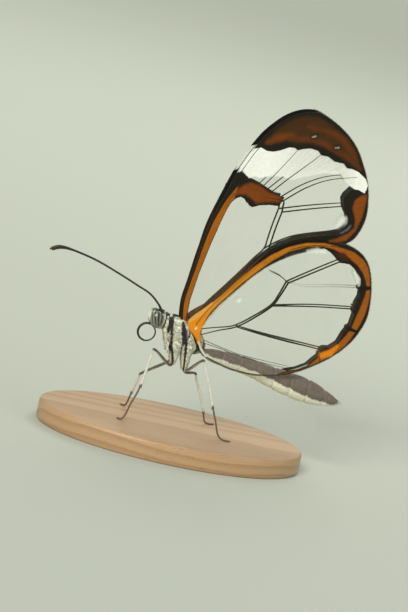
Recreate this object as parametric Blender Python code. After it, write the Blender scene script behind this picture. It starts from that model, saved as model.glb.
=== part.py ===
"""Glasswing butterfly, life size, standing with closed wings on a small oval base.

The head faces -X, the wings stand up along +Z and the left side faces -Y. Sizes are in
millimetres here and become metres where a mesh is made. Places are (x, y, z) for the left
side or the middle, with y counted outward from the middle plane where a side is given.
"""
import math

import bmesh
import bpy
from mathutils import Vector
from mathutils.geometry import delaunay_2d_cdt, intersect_point_line

# Units and shared clearances
MM = 0.001
GAP = 0.3
CENTRE_SHIFT = 0.15
PART_COLLECTION = "glasswing_butterfly"
CUTTER_COLLECTION = "clearance_forms"
LEFT = -1
RIGHT = 1

# Stand base
BASE_LENGTH = 32.0
BASE_WIDTH = 22.0
BASE_HEIGHT = 2.4
BASE_EDGE = 0.35
BASE_SIDES = 56
SOLE_LEVEL = BASE_HEIGHT + GAP
SOLE_AXIS = SOLE_LEVEL + 0.26

# Thorax stations from the neck to the waist: x, top, bottom, half width
NECK_X = -4.0
WAIST_X = 1.35
THORAX_STATIONS = [
    (NECK_X, 15.3, 13.2, 0.70),
    (-3.2, 15.45, 12.3, 1.15),
    (-2.4, 15.4, 11.6, 1.45),
    (-1.4, 15.25, 11.2, 1.60),
    (-0.4, 14.9, 11.1, 1.55),
    (0.4, 14.2, 11.2, 1.30),
    (1.0, 13.4, 11.5, 0.95),
    (WAIST_X, 12.8, 11.9, 0.50),
]
THORAX_SIDES = 20
THORAX_STEPS = 2
# Coxae: the tapered lobes under the thorax that carry the legs: x, y outward, z, radius
MID_COXA = [(-1.9, 0.80, 12.4, 0.72), (-2.0, 0.76, 11.2, 0.62), (-2.0, 0.60, 9.75, 0.36)]
HIND_COXA = [(-0.65, 0.80, 12.2, 0.74), (-0.6, 0.76, 10.9, 0.60), (-0.4, 0.58, 9.2, 0.34)]

# Abdomen stations from the waist to the tip: x, top, bottom, half width
ABDOMEN_STATIONS = [
    (WAIST_X + GAP, 12.25, 11.1, 0.50),
    (2.5, 12.35, 10.65, 0.75),
    (4.4, 12.38, 10.35, 0.88),
    (6.9, 12.22, 9.95, 0.94),
    (9.5, 11.85, 9.25, 0.98),
    (11.2, 11.62, 8.75, 1.02),
    (13.8, 11.3, 8.2, 1.06),
    (15.6, 10.85, 8.1, 0.98),
    (17.2, 10.15, 8.2, 0.74),
    (18.4, 9.5, 8.55, 0.42),
    (19.0, 9.15, 8.85, 0.16),
]
ABDOMEN_SIDES = 16
ABDOMEN_STEPS = 3
SEGMENT_COUNT = 8
SEGMENT_NOTCH = 0.07

# Head, eyes, palps and proboscis
HEAD_CENTRE = (-4.6, 0.0, 14.55)
HEAD_RADII = (0.82, 1.15, 1.25)
EYE_CENTRE = (-5.2, 0.95, 14.75)
EYE_RADII = (0.78, 0.56, 1.08)
EYE_BACK = 0.97
PALP_AXIS = [(-5.2, 0.42, 14.2, 0.25), (-5.8, 0.42, 14.45, 0.26), (-6.02, 0.42, 15.0, 0.25),
             (-5.98, 0.42, 15.5, 0.22), (-5.85, 0.42, 15.9, 0.14)]
COIL_CENTRE = (-5.95, 12.75)
COIL_RADIUS = 0.92
COIL_SHRINK = 0.06
COIL_START = math.radians(42.0)
COIL_TURN = math.radians(304.0)
COIL_STEPS = 26
COIL_TUBE = 0.25

# Left antenna: x, y outward, z, radius. The right one is the same, swung back by ANTENNA_SWING.
ANTENNA_AXIS = [
    (-4.8, 0.36, 15.7, 0.28),
    (-5.1, 0.38, 16.15, 0.26),
    (-6.5, 0.65, 17.3, 0.25),
    (-8.3, 0.95, 18.05, 0.25),
    (-10.7, 1.40, 19.0, 0.25),
    (-13.85, 1.85, 20.1, 0.25),
    (-16.8, 2.20, 20.75, 0.27),
    (-18.25, 2.32, 20.85, 0.30),
    (-19.05, 2.40, 20.6, 0.28),
    (-19.45, 2.45, 20.3, 0.16),
]
ANTENNA_SWING = (0.194, -0.18)

# Legs: x, y outward, z, radius, from the coxa through knee and heel to the claws
FORELEG = [(-3.5, 0.70, 12.9, 0.26), (-3.4, 0.95, 12.1, 0.27), (-3.0, 1.00, 11.3, 0.25),
           (-2.95, 1.00, 10.9, 0.18)]
MIDLEG_LEFT = [(-2.1, 0.50, 9.9, 0.26), (-2.4, 0.85, 9.55, 0.28), (-4.75, 2.50, 11.3, 0.28),
               (-5.0, 2.55, 10.4, 0.26), (-5.4, 2.70, 6.75, 0.26), (-6.1, 2.80, 4.3, 0.26),
               (-6.45, 2.88, 3.3, 0.26), (-6.75, 2.95, SOLE_AXIS, 0.26), (-7.2, 3.00, SOLE_AXIS, 0.26)]
MIDLEG_RIGHT = [(-2.1, 0.50, 9.9, 0.26), (-2.5, 0.80, 9.35, 0.28), (-4.8, 2.00, 7.3, 0.28),
                (-4.95, 2.40, 6.6, 0.26), (-5.15, 3.50, 4.5, 0.26), (-5.3, 4.25, 3.3, 0.26),
                (-5.5, 4.55, SOLE_AXIS, 0.26), (-5.85, 4.85, SOLE_AXIS, 0.26)]
HINDLEG_LEFT = [(-0.4, 0.50, 9.3, 0.26), (-0.1, 0.95, 9.35, 0.28), (1.08, 2.62, 11.2, 0.28),
                (1.45, 2.70, 10.6, 0.26), (2.3, 2.80, 8.9, 0.26), (3.55, 2.95, 6.0, 0.26),
                (4.5, 3.10, 3.95, 0.26), (5.05, 3.22, 3.2, 0.26), (5.6, 3.32, SOLE_AXIS, 0.26),
                (6.35, 3.40, SOLE_AXIS, 0.26)]
HINDLEG_RIGHT = [(-0.4, 0.50, 9.3, 0.26), (0.1, 0.95, 8.7, 0.28), (1.5, 2.20, 8.55, 0.28),
                 (1.85, 2.40, 7.9, 0.26), (2.8, 2.80, 6.1, 0.26), (3.9, 3.30, 3.9, 0.26),
                 (4.3, 3.50, 3.2, 0.26), (4.8, 3.75, SOLE_AXIS, 0.26), (5.5, 4.05, SOLE_AXIS, 0.26)]

# Wings: flat places are (x, z) in the side view, y is counted outward from the middle plane
WING_HINGE = (-0.75, 14.9)
WING_HALF_THICKNESS = 0.25
WING_SPREAD = 0.25
WING_SPREAD_FROM = 3.0
WING_SPREAD_TO = 13.0
HINDWING_DISH_CENTRE = (8.2, 19.4)
HINDWING_DISH_DEPTH = 1.0
HINDWING_DISH_REACH = 2.2
VEIN_HALF_WIDTH = 0.42
VEIN_RIDGE_OUTER = 0.16
VEIN_RIDGE_INNER = 0.05
EDGE_STEP = 1.25
VEIN_STEP = 1.5
CELL_STEP = 2.1
FOREWING_DEPTH = 0.57
HINDWING_DEPTH = 1.58
FOREWING_EDGE = [
    (-1.5, 15.2), (-1.95, 18.3), (-2.35, 22.5), (-2.1, 27.0), (-0.75, 32.6), (0.85, 37.0),
    (2.65, 39.8), (4.2, 41.6), (5.9, 42.6), (7.55, 42.6), (11.35, 40.8), (13.95, 38.1),
    (15.4, 35.4), (16.15, 32.1), (15.75, 29.6), (14.6, 28.1), (11.25, 26.6), (8.55, 25.3),
    (5.65, 23.0), (3.15, 19.8), (1.05, 16.9), (-0.6, 14.7),
]
FOREWING_VEINS = [
    [(-1.1, 15.8), (-1.45, 18.3), (-1.85, 22.5), (-1.6, 27.0), (-0.3, 32.3), (1.3, 36.7),
     (3.0, 39.3), (4.5, 41.1), (5.9, 41.9)],
    [(-0.7, 15.6), (0.95, 18.7), (3.15, 22.2), (5.65, 25.3), (5.95, 28.0), (6.25, 30.1)],
    [(5.65, 25.3), (8.15, 27.0), (11.45, 28.3), (14.2, 29.3)],
    [(6.25, 30.1), (9.8, 31.3), (14.6, 32.6)],
    [(6.05, 31.4), (8.35, 33.5), (10.85, 35.0), (14.0, 36.0)],
    [(4.35, 32.0), (6.05, 34.1), (8.65, 37.1), (10.6, 39.6)],
    [(-0.6, 31.0), (2.0, 30.9), (4.3, 31.4), (6.15, 31.4)],
]
HINDWING_EDGE = [
    (-0.95, 15.2), (0.45, 17.5), (2.45, 20.3), (4.75, 23.6), (7.35, 25.9), (10.2, 27.35),
    (13.85, 27.95), (16.3, 27.5), (17.85, 26.1), (18.8, 23.6), (19.2, 20.7), (18.9, 18.8),
    (17.9, 16.6), (16.0, 14.4), (13.45, 12.5), (11.25, 11.35), (9.45, 10.8), (7.25, 10.5),
    (4.85, 10.6), (3.15, 10.95), (1.35, 11.5), (0.45, 12.8),
]
HINDWING_VEINS = [
    [(-0.2, 15.2), (1.0, 17.3), (3.05, 20.1), (5.3, 23.1), (7.8, 25.2), (10.4, 26.6), (13.8, 27.2),
     (15.9, 26.8)],
    [(0.2, 13.8), (4.25, 15.7), (7.75, 19.0), (9.05, 22.0), (6.9, 23.1)],
    [(9.05, 22.0), (11.8, 24.1), (14.55, 26.0), (15.9, 26.8)],
    [(7.95, 19.1), (12.6, 20.0), (18.4, 20.9)],
    [(4.35, 15.75), (10.55, 15.3), (14.75, 15.2), (16.0, 15.5)],
    [(0.55, 13.1), (6.05, 12.5), (11.75, 12.3)],
]

# Colours: red, green, blue, roughness
EYE_COLOUR = (0.10, 0.10, 0.09, 0.25)
DARK_COLOUR = (0.06, 0.045, 0.035, 0.55)
STRIPED_COLOUR = (0.55, 0.54, 0.48, 0.70)
ABDOMEN_COLOUR = (0.20, 0.16, 0.13, 0.65)
LEG_COLOUR = (0.24, 0.21, 0.17, 0.55)
FOREWING_COLOUR = (0.55, 0.30, 0.12, 0.45)
HINDWING_COLOUR = (0.70, 0.33, 0.07, 0.45)
BASE_COLOUR = (0.62, 0.47, 0.31, 0.50)


# Scene and materials
def clear_scene():
    for item in list(bpy.data.objects):
        bpy.data.objects.remove(item, do_unlink=True)


def make_collection(name):
    collection = bpy.data.collections.new(name)
    bpy.context.scene.collection.children.link(collection)
    return collection


def make_material(name, colour):
    red, green, blue, roughness = colour
    material = bpy.data.materials.new(name + "_finish")
    material.use_nodes = True
    shader = material.node_tree.nodes["Principled BSDF"]
    shader.inputs["Base Color"].default_value = (red, green, blue, 1.0)
    shader.inputs["Roughness"].default_value = roughness
    shader.inputs["Metallic"].default_value = 0.0
    material.diffuse_color = (red, green, blue, 1.0)
    return material


def place(x, y, z):
    """A place in millimetres as a world point in metres."""
    return Vector(((x + CENTRE_SHIFT) * MM, y * MM, z * MM))


def link_mesh(name, mesh, collection):
    item = bpy.data.objects.new(name, mesh)
    collection.objects.link(item)
    return item


def finish_bmesh(name, shape, collection):
    bmesh.ops.recalc_face_normals(shape, faces=shape.faces[:])
    mesh = bpy.data.meshes.new(name)
    shape.to_mesh(mesh)
    shape.free()
    return link_mesh(name, mesh, collection)


# Smooth lines through short point lists
def spline_point(before, start, end, after, t):
    """A Catmull-Rom point between start and end."""
    result = []
    for p0, p1, p2, p3 in zip(before, start, end, after):
        straight = 2 * p1 + (p2 - p0) * t
        bend = (2 * p0 - 5 * p1 + 4 * p2 - p3) * t * t
        twist = (3 * p1 - p0 - 3 * p2 + p3) * t ** 3
        result.append(0.5 * (straight + bend + twist))
    return tuple(result)


def smooth_line(points, steps, closed=False):
    count = len(points)
    spans = count if closed else count - 1
    line = []
    for i in range(spans):
        if closed:
            around = [points[(i + k) % count] for k in (-1, 0, 1, 2)]
        else:
            around = [points[min(max(i + k, 0), count - 1)] for k in (-1, 0, 1, 2)]
        for step in range(steps):
            line.append(spline_point(*around, step / steps))
    if not closed:
        line.append(tuple(points[-1]))
    return line


def even_line(points, spacing, closed=False):
    """Points at nearly equal distances along the smooth line through the given ones."""
    fine = smooth_line(points, 24, closed)
    if closed:
        fine.append(fine[0])
    reach = [0.0]
    for start, end in zip(fine, fine[1:]):
        reach.append(reach[-1] + math.dist(start, end))
    count = max(2, round(reach[-1] / spacing))
    result = []
    index = 0
    for k in range(count if closed else count + 1):
        target = reach[-1] * k / count
        while index < len(reach) - 2 and reach[index + 1] < target:
            index += 1
        part = (target - reach[index]) / (reach[index + 1] - reach[index])
        pair = zip(fine[index], fine[index + 1])
        result.append(tuple(a + (b - a) * part for a, b in pair))
    return result


def on_side(points, side):
    """Gives (x, y outward, z, radius) places their side of the body."""
    return [(x, y * side, z, radius) for x, y, z, radius in points]


# Booleans
def baked_mesh(item):
    bpy.context.view_layer.update()
    depsgraph = bpy.context.evaluated_depsgraph_get()
    return bpy.data.meshes.new_from_object(item.evaluated_get(depsgraph))


def apply_modifiers(item):
    mesh = baked_mesh(item)
    item.modifiers.clear()
    item.data = mesh


def keep_largest(item):
    """Keeps the closed surface with the most faces and drops loose scraps."""
    shape = bmesh.new()
    shape.from_mesh(item.data)
    waiting = set(shape.faces)
    groups = []
    while waiting:
        front = [waiting.pop()]
        group = list(front)
        while front:
            face = front.pop()
            for edge in face.edges:
                for other in edge.link_faces:
                    if other in waiting:
                        waiting.remove(other)
                        front.append(other)
                        group.append(other)
        groups.append(group)
    groups.sort(key=len, reverse=True)
    scraps = [face for group in groups[1:] for face in group]
    bmesh.ops.delete(shape, geom=scraps, context="FACES")
    shape.to_mesh(item.data)
    shape.free()


def cut_clear(item, cutters):
    """Cuts the clearance forms of its neighbours out of a piece."""
    for cutter in cutters:
        modifier = item.modifiers.new("clear of " + cutter.name, "BOOLEAN")
        modifier.operation = "DIFFERENCE"
        modifier.solver = "EXACT"
        modifier.object = cutter
    apply_modifiers(item)
    keep_largest(item)


def fuse(item, pieces):
    """Joins pieces to an item, which stays one closed body."""
    group = bpy.data.collections.new(item.name + "_pieces")
    for piece in pieces:
        group.objects.link(piece)
    modifier = item.modifiers.new("joined", "BOOLEAN")
    modifier.operation = "UNION"
    modifier.solver = "EXACT"
    modifier.operand_type = "COLLECTION"
    modifier.collection = group
    apply_modifiers(item)
    for piece in pieces:
        bpy.data.objects.remove(piece, do_unlink=True)
    bpy.data.collections.remove(group)
    keep_largest(item)


def hide_cutter(item):
    item.hide_render = True
    item.display_type = "WIRE"
    return item


# Basic forms
def ellipsoid(name, centre, radii, collection, segments=20, rings=12, grow=0.0):
    shape = bmesh.new()
    bmesh.ops.create_uvsphere(shape, u_segments=segments, v_segments=rings, radius=1.0)
    for vert in shape.verts:
        offset = [vert.co[k] * (radii[k] + grow) for k in range(3)]
        vert.co = place(*(centre[k] + offset[k] for k in range(3)))
    return finish_bmesh(name, shape, collection)


def ring_loft(name, rings, collection):
    """A closed skin through rings of points, with a fan over each end."""
    shape = bmesh.new()
    rows = [[shape.verts.new(place(*point)) for point in ring] for ring in rings]
    sides = len(rows[0])
    for row, after in zip(rows, rows[1:]):
        for k in range(sides):
            shape.faces.new((row[k], row[(k + 1) % sides], after[(k + 1) % sides], after[k]))
    for row in (rows[0], rows[-1]):
        middle = sum((vert.co for vert in row), Vector()) / sides
        pole = shape.verts.new(middle)
        for k in range(sides):
            shape.faces.new((row[k], row[(k + 1) % sides], pole))
    return finish_bmesh(name, shape, collection)


def body_rings(stations, steps, sides, grow=0.0, notch=None):
    """Upright oval rings along X through stations of x, top, bottom and half width."""
    rings = []
    line = smooth_line(stations, steps)
    for index, (x, top, bottom, half_width) in enumerate(line):
        if index == 0:
            x -= grow
        if index == len(line) - 1:
            x += grow
        scale = notch(x) if notch else 1.0
        middle = (top + bottom) / 2
        half_height = (top - bottom) / 2 * scale + grow
        half_width = half_width * scale + grow
        ring = []
        for k in range(sides):
            angle = 2 * math.pi * k / sides
            ring.append((x, half_width * math.cos(angle), middle + half_height * math.sin(angle)))
        rings.append(ring)
    return rings


def tube(name, axis, collection, step=0.7, grow=0.0, resolution=1):
    """A round rod along a smooth line of x, y, z and radius, made from a bevelled curve."""
    line = even_line(axis, step)
    curve = bpy.data.curves.new(name + "_line", "CURVE")
    curve.dimensions = "3D"
    curve.bevel_depth = MM
    curve.bevel_resolution = resolution
    curve.use_fill_caps = True
    spline = curve.splines.new("POLY")
    spline.points.add(len(line) - 1)
    for point, (x, y, z, radius) in zip(spline.points, line):
        point.co = (*place(x, y, z), 1.0)
        point.radius = radius + grow
    guide = bpy.data.objects.new(name + "_line", curve)
    collection.objects.link(guide)
    mesh = baked_mesh(guide)
    world = guide.matrix_world.copy()
    bpy.data.objects.remove(guide, do_unlink=True)
    bpy.data.curves.remove(curve)
    shape = bmesh.new()
    shape.from_mesh(mesh)
    bmesh.ops.remove_doubles(shape, verts=shape.verts[:], dist=0.001 * MM)
    bpy.data.meshes.remove(mesh)
    item = finish_bmesh(name, shape, collection)
    item.matrix_world = world
    return item


def cut_by_plane(item, through, normal):
    """Removes what lies on the normal's side of a plane and closes the flat."""
    shape = bmesh.new()
    shape.from_mesh(item.data)
    geometry = shape.verts[:] + shape.edges[:] + shape.faces[:]
    result = bmesh.ops.bisect_plane(
        shape, geom=geometry, dist=0.0001 * MM, plane_co=through, plane_no=normal, clear_outer=True)
    rim = [part for part in result["geom_cut"] if isinstance(part, bmesh.types.BMEdge)]
    bmesh.ops.contextual_create(shape, geom=rim)
    bmesh.ops.recalc_face_normals(shape, faces=shape.faces[:])
    shape.to_mesh(item.data)
    shape.free()


# Body parts, each made to its size or grown by a clearance
def thorax_core(name, collection, grow=0.0):
    rings = body_rings(THORAX_STATIONS, THORAX_STEPS, THORAX_SIDES, grow)
    return ring_loft(name, rings, collection)


def thorax_form(name, collection, grow=0.0):
    body = thorax_core(name, collection, grow)
    lobes = []
    for axis in (MID_COXA, HIND_COXA):
        for side in (LEFT, RIGHT):
            lobe = tube(f"coxa_{len(lobes)}", on_side(axis, side), collection, 0.6, grow, 2)
            lobes.append(lobe)
    fuse(body, lobes)
    return body


def head_form(name, collection, grow=0.0):
    """The head between and behind the eyes, flat where it faces the neck."""
    head = ellipsoid(name, HEAD_CENTRE, HEAD_RADII, collection, 20, 12, grow)
    cut_by_plane(head, place(NECK_X - GAP + grow, 0.0, 0.0), Vector((1.0, 0.0, 0.0)))
    return head


def eye_form(name, collection, side, grow=0.0):
    x, y, z = EYE_CENTRE
    eye = ellipsoid(name, (x, y * side, z), EYE_RADII, collection, 18, 12, grow)
    back = place(0.0, side * (EYE_BACK - grow), 0.0)
    cut_by_plane(eye, back, Vector((0.0, -side, 0.0)))
    return eye


def segment_notch(x):
    """Draws the abdomen in a little at the end of each segment."""
    first = ABDOMEN_STATIONS[0][0]
    last = ABDOMEN_STATIONS[-1][0]
    along = (x - first) / (last - first) * SEGMENT_COUNT
    return 1.0 - SEGMENT_NOTCH * (along % 1.0) ** 3


def abdomen_form(name, collection, grow=0.0):
    notch = None if grow else segment_notch
    rings = body_rings(ABDOMEN_STATIONS, ABDOMEN_STEPS, ABDOMEN_SIDES, grow, notch)
    return ring_loft(name, rings, collection)


def proboscis_form(name, collection):
    axis = []
    for k in range(COIL_STEPS + 1):
        part = k / COIL_STEPS
        angle = COIL_START + COIL_TURN * part
        radius = COIL_RADIUS - COIL_SHRINK * part
        x = COIL_CENTRE[0] + radius * math.cos(angle)
        z = COIL_CENTRE[1] + radius * math.sin(angle)
        axis.append((x, 0.0, z, COIL_TUBE))
    return tube(name, axis, collection, 0.28)


def antenna_axis(side):
    """The left line, or the right one swung back so that the two lie in one line of sight."""
    if side == LEFT:
        return on_side(ANTENNA_AXIS, LEFT)
    line = []
    for x, y, z, radius in ANTENNA_AXIS:
        line.append((x + ANTENNA_SWING[0] * 2 * y, y, z + ANTENNA_SWING[1] * 2 * y, radius))
    return line


def leg_form(name, axis, collection):
    leg = tube(name, axis, collection, 0.75)
    cut_by_plane(leg, place(0.0, 0.0, SOLE_LEVEL), Vector((0.0, 0.0, -1.0)))
    return leg


# Wings
def wing_lean(x, z):
    """How much further out a wing stands as it rises away from its hinge."""
    reach = math.dist((x, z), WING_HINGE)
    part = (reach - WING_SPREAD_FROM) / (WING_SPREAD_TO - WING_SPREAD_FROM)
    part = min(max(part, 0.0), 1.0)
    return WING_SPREAD * part * part * (3 - 2 * part)


def forewing_depth(x, z):
    return FOREWING_DEPTH + wing_lean(x, z)


def hindwing_depth(x, z):
    """The hindwing lies over the forewing and is dished inward in the middle of its cells."""
    away = math.dist((x, z), HINDWING_DISH_CENTRE) / HINDWING_DISH_REACH
    dish = HINDWING_DISH_DEPTH * math.exp(-away * away / 2)
    return HINDWING_DEPTH + wing_lean(x, z) - dish


def line_distance(point, lines):
    """Distance from a flat point to the nearest of the polylines."""
    best = math.inf
    spot = Vector((*point, 0.0))
    for line in lines:
        for start, end in zip(line, line[1:]):
            start = Vector((*start, 0.0))
            end = Vector((*end, 0.0))
            foot, part = intersect_point_line(spot, start, end)
            if part < 0.0:
                foot = start
            if part > 1.0:
                foot = end
            best = min(best, (spot - foot).length)
    return best


def inside_outline(point, outline):
    x, z = point
    inside = False
    for (x1, z1), (x2, z2) in zip(outline, outline[1:] + outline[:1]):
        if (z1 > z) != (z2 > z) and x < x1 + (z - z1) * (x2 - x1) / (z2 - z1):
            inside = not inside
    return inside


def vein_flanks(line):
    """Points at the foot of a vein's ridge, on both sides of its crest."""
    flanks = []
    for index in range(len(line)):
        start = line[max(index - 1, 0)]
        end = line[min(index + 1, len(line) - 1)]
        length = math.dist(start, end)
        across = ((start[1] - end[1]) / length, (end[0] - start[0]) / length)
        for sign in (-1, 1):
            x = line[index][0] + sign * VEIN_HALF_WIDTH * across[0]
            z = line[index][1] + sign * VEIN_HALF_WIDTH * across[1]
            flanks.append((x, z))
    return flanks


def cell_grid(outline):
    """Rows of points over the wing, every other row shifted by half a step."""
    low_x = min(x for x, z in outline)
    high_x = max(x for x, z in outline)
    low_z = min(z for x, z in outline)
    high_z = max(z for x, z in outline)
    row_step = CELL_STEP * math.sqrt(0.75)
    grid = []
    for row in range(int((high_z - low_z) / row_step) + 1):
        shift = CELL_STEP / 2 * (row % 2)
        for column in range(int((high_x - low_x) / CELL_STEP) + 1):
            grid.append((low_x + shift + column * CELL_STEP, low_z + row * row_step))
    return grid


def wing_plan(edge, veins):
    """Splits a wing's side view into triangles that follow its outline and its veins."""
    outline = even_line(edge, EDGE_STEP, closed=True)
    rim = outline + outline[:1]
    points = [Vector(point) for point in outline]
    lines = []
    fixed = []
    for vein in veins:
        line = even_line(vein, VEIN_STEP)
        lines.append(line)
        first = len(points)
        points.extend(Vector(point) for point in line)
        fixed.extend((first + k, first + k + 1) for k in range(len(line) - 1))
    for line in lines:
        for flank in vein_flanks(line):
            others = [other for other in lines if other is not line]
            clear_of_rim = line_distance(flank, [rim]) > 0.25
            clear_of_veins = line_distance(flank, others) > 0.25
            if clear_of_rim and clear_of_veins and inside_outline(flank, outline):
                points.append(Vector(flank))
    for spot in cell_grid(outline):
        if not inside_outline(spot, outline) or line_distance(spot, [rim]) < 0.45 * CELL_STEP:
            continue
        nearest = min((Vector(spot) - other).length for other in points)
        if nearest > 0.5 * CELL_STEP:
            points.append(Vector(spot))
    face = list(range(len(outline)))
    flat, _, triangles, _, _, _ = delaunay_2d_cdt(points, fixed, [face], 1, 0.0001)
    return flat, triangles, lines


def wing_form(name, edge, veins, depth, side, collection):
    """A membrane of even thickness with its veins raised as ridges in both faces."""
    flat, triangles, lines = wing_plan(edge, veins)
    shape = bmesh.new()
    faces = {"inner": [], "outer": []}
    for x, z in flat:
        middle = depth(x, z)
        rise = max(0.0, 1.0 - line_distance((x, z), lines) / VEIN_HALF_WIDTH)
        inner = middle - WING_HALF_THICKNESS - VEIN_RIDGE_INNER * rise
        outer = middle + WING_HALF_THICKNESS + VEIN_RIDGE_OUTER * rise
        faces["inner"].append(shape.verts.new(place(x, side * inner, z)))
        faces["outer"].append(shape.verts.new(place(x, side * outer, z)))
    uses = {}
    for a, b, c in triangles:
        shape.faces.new([faces["outer"][k] for k in (a, b, c)])
        shape.faces.new([faces["inner"][k] for k in (c, b, a)])
        for start, end in ((a, b), (b, c), (c, a)):
            uses.setdefault(frozenset((start, end)), []).append((start, end))
    for sides in uses.values():
        if len(sides) == 1:
            start, end = sides[0]
            inner, outer = faces["inner"], faces["outer"]
            shape.faces.new((outer[end], outer[start], inner[start]))
            shape.faces.new((outer[end], inner[start], inner[end]))
    return finish_bmesh(name, shape, collection)


# Stand
def base_form(name, collection):
    shape = bmesh.new()
    bmesh.ops.create_cone(
        shape, cap_ends=True, segments=BASE_SIDES, radius1=0.5, radius2=0.5, depth=1.0)
    for vert in shape.verts:
        x, y, z = vert.co
        vert.co = Vector((x * BASE_LENGTH, y * BASE_WIDTH, (z + 0.5) * BASE_HEIGHT)) * MM
    rims = [edge for edge in shape.edges if abs(edge.verts[0].co.z - edge.verts[1].co.z) < 0.01 * MM]
    bmesh.ops.bevel(shape, geom=rims, offset=BASE_EDGE * MM, segments=2, affect="EDGES")
    return finish_bmesh(name, shape, collection)


def dress(item, colour):
    """Gives a finished piece its material and smooth shading."""
    item.data.materials.clear()
    item.data.materials.append(make_material(item.name, colour))
    item.data.shade_smooth()
    item.data.set_sharp_from_angle(angle=math.radians(40.0))


def main():
    clear_scene()
    parts = make_collection(PART_COLLECTION)
    cutters = make_collection(CUTTER_COLLECTION)
    thorax_clear = hide_cutter(thorax_form("thorax_clearance", cutters, GAP))
    head_clear = hide_cutter(head_form("head_clearance", cutters, GAP))
    abdomen_clear = hide_cutter(abdomen_form("abdomen_clearance", cutters, GAP))

    dress(base_form("stand_base", parts), BASE_COLOUR)
    dress(thorax_form("thorax", parts), STRIPED_COLOUR)
    head = head_form("head", parts)
    head_cutters = []
    for side, word in ((LEFT, "left"), (RIGHT, "right")):
        head_cutters.append(hide_cutter(eye_form("eye_clearance_" + word, cutters, side, GAP)))
        dress(eye_form("eye_" + word, parts, side), EYE_COLOUR)
    cut_clear(head, head_cutters)
    dress(head, STRIPED_COLOUR)

    dress(abdomen_form("abdomen", parts), ABDOMEN_COLOUR)
    proboscis = proboscis_form("proboscis", parts)
    cut_clear(proboscis, [head_clear])
    dress(proboscis, DARK_COLOUR)

    legs = {
        LEFT: (FORELEG, MIDLEG_LEFT, HINDLEG_LEFT),
        RIGHT: (FORELEG, MIDLEG_RIGHT, HINDLEG_RIGHT),
    }
    for side, word in ((LEFT, "left"), (RIGHT, "right")):
        palp = tube("palp_" + word, on_side(PALP_AXIS, side), parts, 0.4)
        cut_clear(palp, [head_clear])
        dress(palp, STRIPED_COLOUR)
        antenna = tube("antenna_" + word, antenna_axis(side), parts, 0.9)
        cut_clear(antenna, [head_clear])
        dress(antenna, DARK_COLOUR)
        for kind, axis in zip(("foreleg", "midleg", "hindleg"), legs[side]):
            leg = leg_form(f"{kind}_{word}", on_side(axis, side), parts)
            cut_clear(leg, [thorax_clear])
            dress(leg, LEG_COLOUR)
        forewing = wing_form(
            "forewing_" + word, FOREWING_EDGE, FOREWING_VEINS, forewing_depth, side, parts)
        cut_clear(forewing, [thorax_clear])
        dress(forewing, FOREWING_COLOUR)
        hindwing = wing_form(
            "hindwing_" + word, HINDWING_EDGE, HINDWING_VEINS, hindwing_depth, side, parts)
        cut_clear(hindwing, [thorax_clear, abdomen_clear])
        dress(hindwing, HINDWING_COLOUR)


main()
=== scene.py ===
"""Glasswing butterfly, life size: fine skin, coat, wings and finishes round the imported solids.

Lengths are millimetres in the solids' own drawing: x runs from head to tail, y outward from
the middle plane or from left to right, and z up. Draft.build turns them into metres.
"""

import logging
import math
from collections.abc import Sequence
from dataclasses import dataclass
from enum import Enum

import bpy
import numpy as np
from mathutils import Matrix, Vector
from mathutils.geometry import delaunay_2d_cdt


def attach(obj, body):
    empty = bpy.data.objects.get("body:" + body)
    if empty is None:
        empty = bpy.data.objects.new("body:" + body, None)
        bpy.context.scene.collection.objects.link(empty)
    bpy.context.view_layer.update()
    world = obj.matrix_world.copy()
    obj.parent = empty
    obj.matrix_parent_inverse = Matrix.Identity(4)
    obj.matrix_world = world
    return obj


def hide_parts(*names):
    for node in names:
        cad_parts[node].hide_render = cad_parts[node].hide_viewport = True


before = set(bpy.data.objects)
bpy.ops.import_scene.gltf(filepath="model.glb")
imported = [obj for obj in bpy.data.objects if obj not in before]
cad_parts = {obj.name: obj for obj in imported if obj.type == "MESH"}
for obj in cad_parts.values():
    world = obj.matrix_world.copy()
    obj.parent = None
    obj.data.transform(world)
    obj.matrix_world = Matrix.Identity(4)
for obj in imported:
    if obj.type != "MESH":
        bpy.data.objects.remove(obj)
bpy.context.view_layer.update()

LOG = logging.getLogger("glasswing")
MM = 0.001
BODY = "root"
# moves the drawing along x, so that the base's middle lies at the origin
CENTRE_SHIFT = 0.15
BASE_TOP = 2.4
# the map for baked looks, and the side of one tuft's patch on it
COAT_MAP = "OFBake"
PATCH = 0.003
# further than any marking reaches
FAR = 9.0

Array = np.ndarray
Material = bpy.types.Material
Colour = tuple[float, float, float]
Display = tuple[int, int, int]
Flat = tuple[float, float]
Spot = tuple[float, float, float]
# x, top, bottom and half width, or x, y, z and radius
Station = tuple[float, float, float, float]
# places in the side view
Outline = tuple[Flat, ...]
# x, z and half width of a marking or a vein
Stroke = tuple[Spot, ...]
Route = tuple[Spot, ...]


class Side(Enum):
    """The two sides of the body, by the sign of y."""

    LEFT = -1
    RIGHT = 1

    @property
    def word(self) -> str:
        """The side as the nodes' names write it."""
        return self.name.lower()

    def node(self, part: str) -> str:
        """The name of this side's node of a paired part."""
        return f"{part}_{self.word}"


class Face(Enum):
    """The two faces of a closed wing: the underside shows outward and the upper side inward."""

    UNDER = 0
    UPPER = 1


def seen(red: int, green: int, blue: int) -> Colour:
    """Turns a display colour of 0 to 255 a channel into linear light.

    Args:
        red: its red.
        green: its green.
        blue: its blue.

    Returns:
        The colour in linear light.
    """
    linear = []
    for channel in (red, green, blue):
        share = channel / 255
        linear.append(share / 12.92 if share <= 0.04045 else ((share + 0.055) / 1.055) ** 2.4)
    return (linear[0], linear[1], linear[2])


def step(values: Array, low: float, high: float) -> Array:
    """A smooth step from 0 at low to 1 at high."""
    share = np.clip((np.asarray(values, float) - low) / (high - low), 0, 1)
    return share * share * (3 - 2 * share)


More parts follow.
